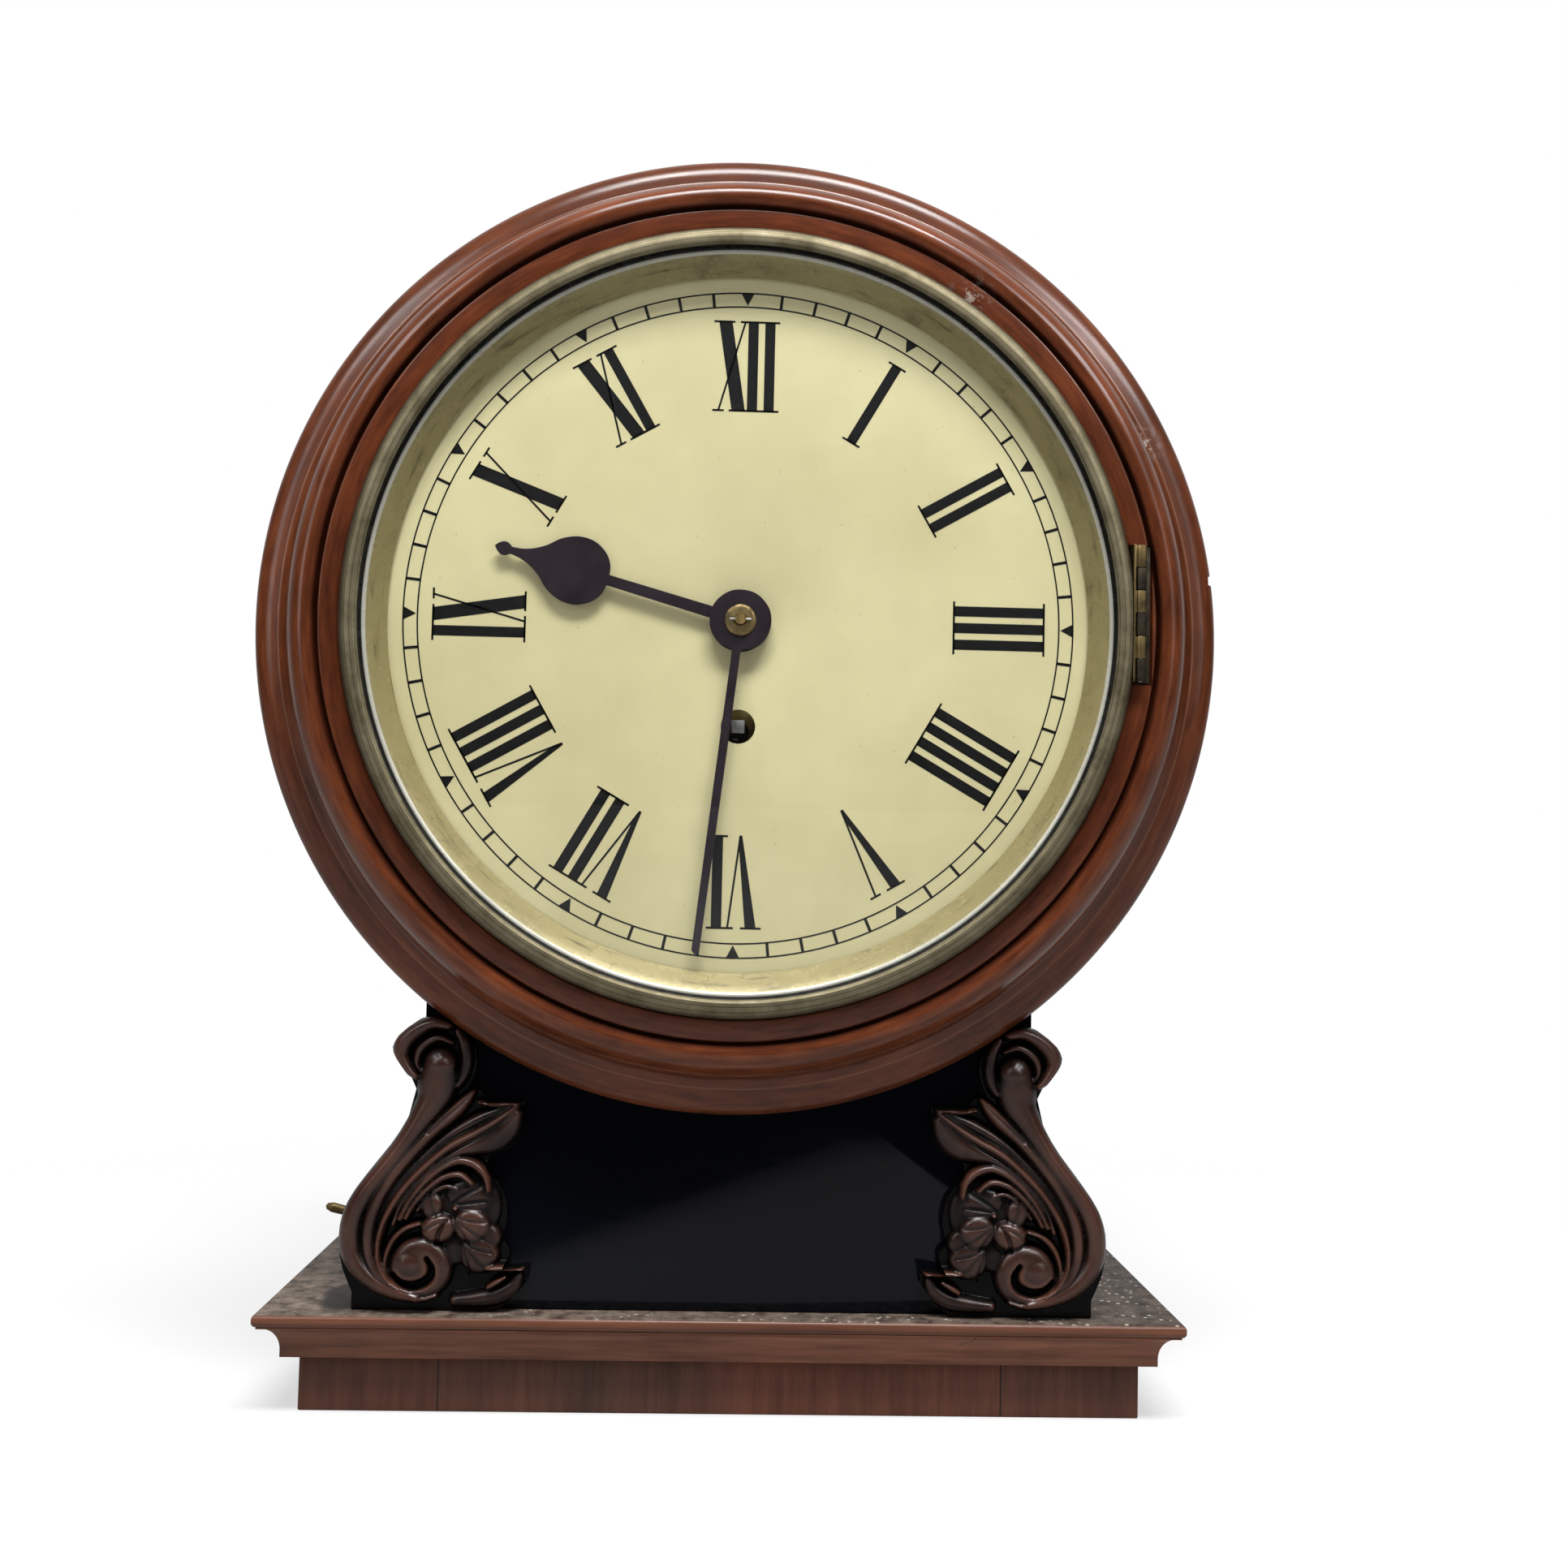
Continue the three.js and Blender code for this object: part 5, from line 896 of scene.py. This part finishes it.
# Painted shade: the flange outside the rim, under the bezel lip, is near black.
feed("Base Color", times(browned_tone, by_rim((108.1, 1), (108.34, 0.03))))
feed("Metallic", by_rim((106.99, 0.25), (107.29, 0.1)))
feed("Roughness", tones(browned_spots, (0.35, 0.34), (0.65, 0.2)))
hand_over(sight_ring, browned, "bezel", "bezel_brass", "sight_ring")

glass_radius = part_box("bezel_glass")[1].x / mm
pane = turn_on_lathe("bezel_glass_finished", hoop(0, glass_radius, *depths("bezel_glass"), 0, 0.3, 0.3, 0))
clear_glass = new_finish(
    "clear glass", Base_Color=(0.985, 0.99, 0.985, 1), Transmission_Weight=1.0, Roughness=0.0, IOR=1.45
)
pane.visible_shadow = False
pane.visible_diffuse = False
hand_over(pane, clear_glass, "bezel", "glass", "bezel_glass")

# The hinge leaf set in the surround's notch is coloured near black, as painted shade of the recess.
shade_brass = new_finish("blackened brass", Metallic=0.7, Roughness=0.5)
shade_brass_spots = mottle(place_on(shade_brass), 300.0)
shade_brass_tone = tones(shade_brass_spots, (0.35, (0.012, 0.009, 0.006)), (0.7, (0.05, 0.038, 0.02)))
feed("Base Color", shade_brass_tone)
dress("bezel_hinge_leaf", old_brass, "bezel", "bezel_brass", 0.45, 3)
dress("surround_hinge_leaf", shade_brass, "case", "aged_brass", 0.45, 3)
bright_steel = new_finish("bright steel", Metallic=1.0, Base_Color=(0.42, 0.42, 0.43, 1))
steel_lines = mottle(place_on(bright_steel), (900, 90, 900))
feed("Roughness", tones(steel_lines, (0.3, 0.22), (0.7, 0.38)))
dress("bezel_hinge_pin", bright_steel, "case", "steel", 0.2)

# Dial
# A sheet-iron plate painted cream, held by four riveted feet. The minute track and the Roman numerals, with
# their tops outwards, are painted on in black.
dial_radius, dial_thickness = dial_high.x / mm, 1.2
centre_hole, winding_hole, winding_drop = 6.2, 5.0, 30.5
foot_radius, foot_back, foot_across, foot_rise = 2.6, 16.0, 46, 44
dial_plate = turn_on_lathe(
    "dial_plate_finished", hoop(centre_hole, dial_radius, 0, dial_thickness, 0.15, 0.3, 0.3, 0.15)
)


def peg(radius, x, front, back, rise):
    """A round bar from one depth behind the dial face to another."""
    ops.mesh.primitive_cylinder_add(
        vertices=64,
        radius=radius * mm,
        depth=(back - front) * mm,
        location=(x * mm, dial_face + (front + back) / 2 * mm, dial_centre + rise * mm),
        rotation=(pi / 2, 0, 0),
    )
    ops.object.transform_apply(location=True, rotation=True)
    return bpy.context.object


cut(dial_plate, peg(winding_hole, 0, -5, 5, -winding_drop))
feet = [
    peg(foot_radius, x, dial_thickness, foot_back, rise)
    for x in (-foot_across, foot_across)
    for rise in (-foot_rise, foot_rise)
]
pick(dial_plate)
for foot in feet:
    foot.select_set(True)
ops.object.join()
shade()

cream = new_finish("cream dial paint", Roughness=0.42, Specular_IOR_Level=0.4)
cream_place = place_on(cream)
cream_clouds = mottle(cream_place, 22.0, 5, 0.6)
cream_tone = tones(cream_clouds, (0.34, (0.66, 0.6, 0.33)), (0.66, (0.76, 0.7, 0.4)))
fly_spots = dots(cream_place, 190.0, (0.03, 0.55), (0.06, 0))
feed("Base Color", over(fly_spots, cream_tone, (0.3, 0.25, 0.12)))
relief(mottle(cream_place, 700.0, 3), 0.01)
hand_over(dial_plate, cream, "case", "dial_paint", "dial_plate")

ink = new_finish(
    "black dial paint", Base_Color=(0.003, 0.003, 0.003, 1), Roughness=0.6, Specular_IOR_Level=0.1
)
numeral_foot, numeral_height = 62.0, 27.0
stroke, hairline, serif = 3.0, 0.6, 1.4
v_width, v_foot, v_stroke, x_width = 8.6, 4.7, 3.2, 8.2
letter_gaps = {"II": 1.9, "XI": 0.5, "VI": 1.4, "IX": 1.3}
ink_film = 0.05


def bar(left, right, low, high):
    return [(left, low), (right, low), (right, high), (left, high)]


def serifs(left, right):
    """The hairlines at the foot and the head of a stroke."""
    return [bar(left, right, low, low + hairline) for low in (0, numeral_height - hairline)]


def letter_i(left):
    upright = bar(left, left + stroke, 0, numeral_height)
    return [upright, *serifs(left - serif, left + stroke + serif)], stroke


def letter_v(left):
    top, foot, right, head = numeral_height, left + v_foot, left + v_width, left + v_stroke
    thick = [(left, top), (foot - 0.2, 0), (foot + 0.3, 0), (foot + 0.8, 2.2), (head, top)]
    thin = [(foot, 0), (foot + hairline, 0), (right, top), (right - hairline, top)]
    return [thick, thin, serifs(left - serif, head + serif)[1], serifs(right - 2, right + serif)[1]], v_width


def letter_x(left):
    top, right = numeral_height, left + x_width
    thick = [(left + 4.3, 0), (right, 0), (left + 3.9, top), (left, top)]
    thin = [(left, 0), (left + hairline, 0), (right, top), (right - hairline, top)]
    ends = [serifs(left - serif, left + 2)[0], serifs(left + 3.4, right + 1)[0]]
    ends += [serifs(left - serif, left + 4.8)[1], serifs(right - 1.8, right + serif)[1]]
    return [thick, thin, *ends], x_width


def paint_on(name, marks):
    """A film of black paint on the dial, from outlines of (across, distance from the centre) at an angle."""
    corners, faces = [], []
    for turn, outline in marks:
        faces.append(range(len(corners), len(corners) + len(outline)))
        for across, up in outline:
            x = across * cos(turn) + up * sin(turn)
            z = up * cos(turn) - across * sin(turn)
            corners.append((x * mm, dial_face, dial_centre + z * mm))
    mesh = bpy.data.meshes.new(name)
    mesh.from_pydata(corners, [], faces)
    film = set_down(name, mesh)
    edit_all()
    ops.mesh.extrude_region_move(TRANSFORM_OT_translate={"value": (0, -ink_film * mm, 0)})
    turn_outwards()
    hand_over(film, ink, "case", "dial_paint")


letters = {"I": letter_i, "V": letter_v, "X": letter_x}
numerals = ("XII", "I", "II", "III", "IIII", "V", "VI", "VII", "VIII", "IX", "X", "XI")
marks = []
for hour, numeral in enumerate(numerals):
    outlines, reach = [], 0
    for i, letter in enumerate(numeral):
        if i:
            reach += letter_gaps[numeral[i - 1] + letter]
        shapes, width = letters[letter](reach)
        outlines += shapes
        reach += width
    for outline in outlines:
        placed = [(across - reach / 2, numeral_foot + up) for across, up in outline]
        marks.append((hour * pi / 6, placed))
paint_on("numerals", marks)

track_inner, track_outer, track_line, tick, hour_mark = 93.2, 97.3, 0.45, 0.88, 3.9
ticks = []
for minute in range(60):
    outline = bar(-tick / 2, tick / 2, track_inner, track_outer)
    if minute % 5 == 0:
        outline = [(0, track_inner + 0.4), (hour_mark / 2, track_outer), (-hour_mark / 2, track_outer)]
    ticks.append((minute * pi / 30, outline))
paint_on("minute_marks", ticks)
for radius in (track_inner, track_outer):
    section = bar(radius - track_line / 2, radius + track_line / 2, -ink_film, 0)
    line = turn_on_lathe(f"minute_circle_{radius:.0f}", section, surround_steps)
    hand_over(line, ink, "case", "dial_paint")

# Hands
# Steel, sawn out, filed flat and blued nearly black: an hour hand with a pear-shaped bulb and a bud tip,
# and a plain tapered minute hand. A domed brass collet and a cross pin hold both on the centre arbor.
blued = new_finish(
    "blued steel", Metallic=0.4, Base_Color=(0.022, 0.015, 0.021, 1), Specular_IOR_Level=0.3
)
blued_cloud = mottle(place_on(blued), 60.0)
feed("Roughness", tones(blued_cloud, (0.35, 0.3), (0.65, 0.45)))


def saw_hand(node, outline, bore, turn):
    """A flat hand from half its outline, as (half width, distance, smooth) from the tail to the tip."""
    front, back = depths(node)
    shape = bpy.data.curves.new(f"{node}_finished", "CURVE")
    shape.dimensions = "2D"
    shape.fill_mode = "BOTH"
    shape.resolution_u = 10
    shape.bevel_depth = 0.12 * mm
    shape.bevel_resolution = 1
    shape.extrude = (back - front) / 2 * mm - shape.bevel_depth
    left = [(-half, up, smooth) for half, up, smooth in reversed(outline) if half]
    hole = [(bore, 0, True), (0, bore, True), (-bore, 0, True), (0, -bore, True)]
    for loop in (outline + left, hole):
        spline = shape.splines.new("BEZIER")
        spline.bezier_points.add(len(loop) - 1)
        spline.use_cyclic_u = True
        for point, (across, up, smooth) in zip(spline.bezier_points, loop):
            point.co = (across * mm, up * mm, 0)
            point.handle_left_type = "AUTO" if smooth else "VECTOR"
            point.handle_right_type = point.handle_left_type
    set_down(shape.name, shape)
    ops.object.convert(target="MESH")
    hand = bpy.context.object
    spin = Matrix.Rotation(radians(turn), 4, "Y") @ Matrix.Rotation(pi / 2, 4, "X")
    spot = Matrix.Translation((0, dial_face + (front + back) / 2 * mm, dial_centre))
    hand.matrix_world = spot @ spin
    ops.object.transform_apply(location=True, rotation=True)
    shade()
    return hand


boss = 8.8
boss_side = boss * 0.71
boss_outline = [
    (0.0, -boss, True), (boss_side, -boss_side, True), (boss, 0.0, True), (boss_side, boss_side, True),
]
hour_outline = [
    (1.6, boss - 0.1, False), (1.4, 40.2, False), (4.8, 41.0, True), (8.5, 44.6, True),
    (9.8, 49.8, True), (8.0, 55.6, True), (4.0, 60.4, True), (1.8, 64.6, True), (1.0, 68.4, True),
    (0.95, 69.2, False), (1.9, 71.2, True), (1.3, 72.8, True), (0.0, 74.0, False),
]
minute_outline = [(1.15, boss - 0.1, False), (1.15, 50.0, False), (1.0, 96.0, False), (0.0, 97.0, False)]
hour_bore, hour_turn, minute_bore, minute_turn = 3.4, 285.7, 2.6, 186.4
for node, outline, bore, turn in (
    ("hour_hand", hour_outline, hour_bore, hour_turn),
    ("minute_hand", minute_outline, minute_bore, minute_turn),
):
    hand_over(saw_hand(node, boss_outline + outline, bore, turn), blued, node, "blued_steel", node)

collet_front, collet_back = depths("hand_collet")
collet_bore, collet_radius, collet_waist, collet_edge = 1.75, 4.7, 4.1, 0.6
collet_profile = [
    (collet_bore, collet_back), (collet_radius, collet_back, 0.2),
    (collet_waist, collet_back - collet_edge, 0.5), (collet_bore, collet_front, 0.2),
]
hand_collet = turn_on_lathe("hand_collet_finished", collet_profile, 64)
hand_over(hand_collet, old_brass, "centre_arbor", "bezel_brass", "hand_collet")
dress("hand_pin", bright_steel, "centre_arbor", "steel", 0.15)

# Movement
# A single-train fusee movement between two brass plates, with a short pendulum on a spring. Plates, pillars
# and wheels are lacquered brass, and springs, pallets, rod and barrel arbor are steel. The line is gut.
clock_brass = new_finish("grained clock brass", Metallic=1.0)
clock_lines = mottle(place_on(clock_brass), (700, 700, 30))


def lacquered(material):
    """The tone of old lacquered brass."""
    age = mottle(place_on(material), 45.0, 5, 0.65)
    return tones(age, (0.32, (0.3, 0.2, 0.07)), (0.66, (0.56, 0.41, 0.16)))


feed("Base Color", lacquered(clock_brass))
feed("Roughness", tones(clock_lines, (0.3, 0.26), (0.7, 0.42)))
plain_pieces = {
    "case": ["front_plate", "back_plate", "pillar_1", "pillar_2", "pillar_3", "pillar_4", "back_cock"],
    "barrel": ["barrel", "barrel_cover"],
    "pendulum": ["pendulum_bob"],
    "rating_nut": ["rating_nut"],
}
wheels = {
    "great_wheel": ["great_wheel"],
    "centre_arbor": ["centre_wheel"],
    "third_arbor": ["third_wheel"],
    "escape_arbor": ["escape_wheel"],
    "minute_hand": ["cannon_pinion"],
    "minute_wheel": ["minute_wheel"],
    "hour_hand": ["hour_wheel"],
}
steel_pieces = {
    "case": ["barrel_arbor", "mainspring"],
    "pallets": ["pallets"],
    "pendulum": ["suspension_spring", "pendulum_rod"],
}
for group, metal, slot, easing in (
    (plain_pieces, clock_brass, "movement_brass", 0.25),
    (wheels, clock_brass, "movement_brass", 0),
    (steel_pieces, bright_steel, "steel", 0.1),
):
    for body, nodes in group.items():
        for node in nodes:
            dress(node, metal, body, slot, easing)
fusee_metal = new_finish("brass fusee on a steel arbor", Metallic=1.0, Roughness=0.36)
fusee_away = length(from_centre(fusee_metal, joints["fusee_turn"]["pos_m"]))
arbor_radius = 4.2 * mm
arbor_share = reckon("LESS_THAN", fusee_away, arbor_radius)
feed("Base Color", over(arbor_share, lacquered(fusee_metal), (0.2, 0.2, 0.19)))
dress("fusee", fusee_metal, "fusee", "movement_brass", 0.25)
gut = new_finish("gut line", Base_Color=(0.3, 0.2, 0.09, 1), Roughness=0.6)
dress("fusee_line", gut, "case", "steel", 0)

# Floor, light and camera
# A white floor that runs out into a white background, soft boxes at the left, right and above, two lamps
# that show in polish alone, and the camera where the photograph was taken from, a little below the dial.
ops.mesh.primitive_plane_add(size=12)
floor = bpy.context.object
floor.name = "floor"
paper = new_finish("white paper", Base_Color=(0.4, 0.4, 0.4, 1), Roughness=0.9, Specular_IOR_Level=0.1)
paper_away = length(place_on(paper))
paper_glow = between(paper_away, 0.16, 0.55, 0.6, 1.0, interpolation_type="SMOOTHSTEP")


def first_sight(material, glossy):
    """Whether a ray comes from the camera, straight or by glass or gloss, and not by a dull surface."""
    path = add_node(material.node_tree, "LightPath", {}).outputs
    clear = reckon("LESS_THAN", path["Glossy Depth"], 0.5)
    clear = reckon("MULTIPLY", clear, path["Is Transmission Ray"])
    way = reckon("MAXIMUM", path["Is Camera Ray"], clear)
    way = reckon("MAXIMUM", way, reckon("MULTIPLY", path["Is Glossy Ray"], glossy))
    return reckon("MULTIPLY", way, reckon("LESS_THAN", path["Diffuse Depth"], 0.5))


seen = first_sight(paper, 0.15)
paper_tree = paper.node_tree
shaded = add_node(paper_tree, "BsdfDiffuse", {"Color": (0.9, 0.9, 0.9, 1)}).outputs[0]
white = add_node(paper_tree, "Emission", {"Color": (1, 1, 1, 1), "Strength": 1.0}).outputs[0]
bright = add_node(paper_tree, "MixShader", {0: paper_glow, 1: shaded, 2: white}).outputs[0]
dim = paper_tree.nodes["Principled BSDF"].outputs[0]
paper_mix = add_node(paper_tree, "MixShader", {0: seen, 1: dim, 2: bright}).outputs[0]
paper_tree.links.new(paper_mix, paper_tree.nodes["Material Output"].inputs["Surface"])
floor.data.materials.append(paper)

room = bpy.data.worlds.new("studio")
room.use_nodes = True
bpy.context.scene.world = room
room_way = add_node(room.node_tree, "TexCoord", {}).outputs["Generated"]
room_high = between(part(room_way, "Z"), 0.25, 0.95, 0.02, 0.4)
room_behind = between(part(room_way, "Y"), 0.1, 0.7, 0.0, 0.5)
backdrop = between(part(room_way, "Y"), 0.82, 0.9)
room_level = reckon("ADD", room_high, room_behind)
room_level = reckon("MAXIMUM", room_level, first_sight(room, backdrop))
background = room.node_tree.nodes["Background"]
room.node_tree.links.new(room_level, background.inputs["Strength"])
background.inputs["Color"].default_value = (1, 1, 1, 1)

lamp_aim = Vector((0, 0, 0.2))
for name, place, width, height, power, dull_too in (
    ("main soft box", (0.1, -0.74, 1.6), 1.0, 0.32, 34, True),
    ("left soft box", (-1.0, -0.95, 0.6), 0.3, 0.6, 1.9, True),
    ("right soft box", (1.0, -0.95, 0.6), 0.3, 0.6, 1.15, True),
    ("left sheen", (-0.75, -0.85, 1.05), 0.5, 0.25, 4, False),
    ("right sheen", (0.75, -0.85, 1.05), 0.5, 0.25, 7, False),
):
    ops.object.light_add(type="AREA", location=place)
    lamp = bpy.context.object
    lamp.name = name
    lamp.data.shape = "RECTANGLE"
    lamp.data.size = width
    lamp.data.size_y = height
    lamp.data.energy = power
    lamp.rotation_euler = (lamp_aim - Vector(place)).to_track_quat("-Z", "Y").to_euler()
    lamp.visible_diffuse = dull_too

eye = Vector((-2.4, -534.55, 160.99)) * mm
yaw, pitch, roll = radians(1.994), radians(3.247), radians(1.25)
ahead = Vector((sin(yaw) * cos(pitch), cos(yaw) * cos(pitch), sin(pitch)))
level_right = Vector((cos(yaw), -sin(yaw), 0))
level_up = level_right.cross(ahead)
right = cos(roll) * level_right + sin(roll) * level_up
up = cos(roll) * level_up - sin(roll) * level_right
ops.object.camera_add(location=eye)
camera = bpy.context.object
camera.matrix_world = Matrix.Translation(eye) @ Matrix((right, up, -ahead)).transposed().to_4x4()
camera.data.sensor_width = 36
camera.data.lens = 36.78
camera.data.clip_start = 0.01
bpy.context.scene.camera = camera
bpy.context.scene.view_settings.view_transform = "Standard"
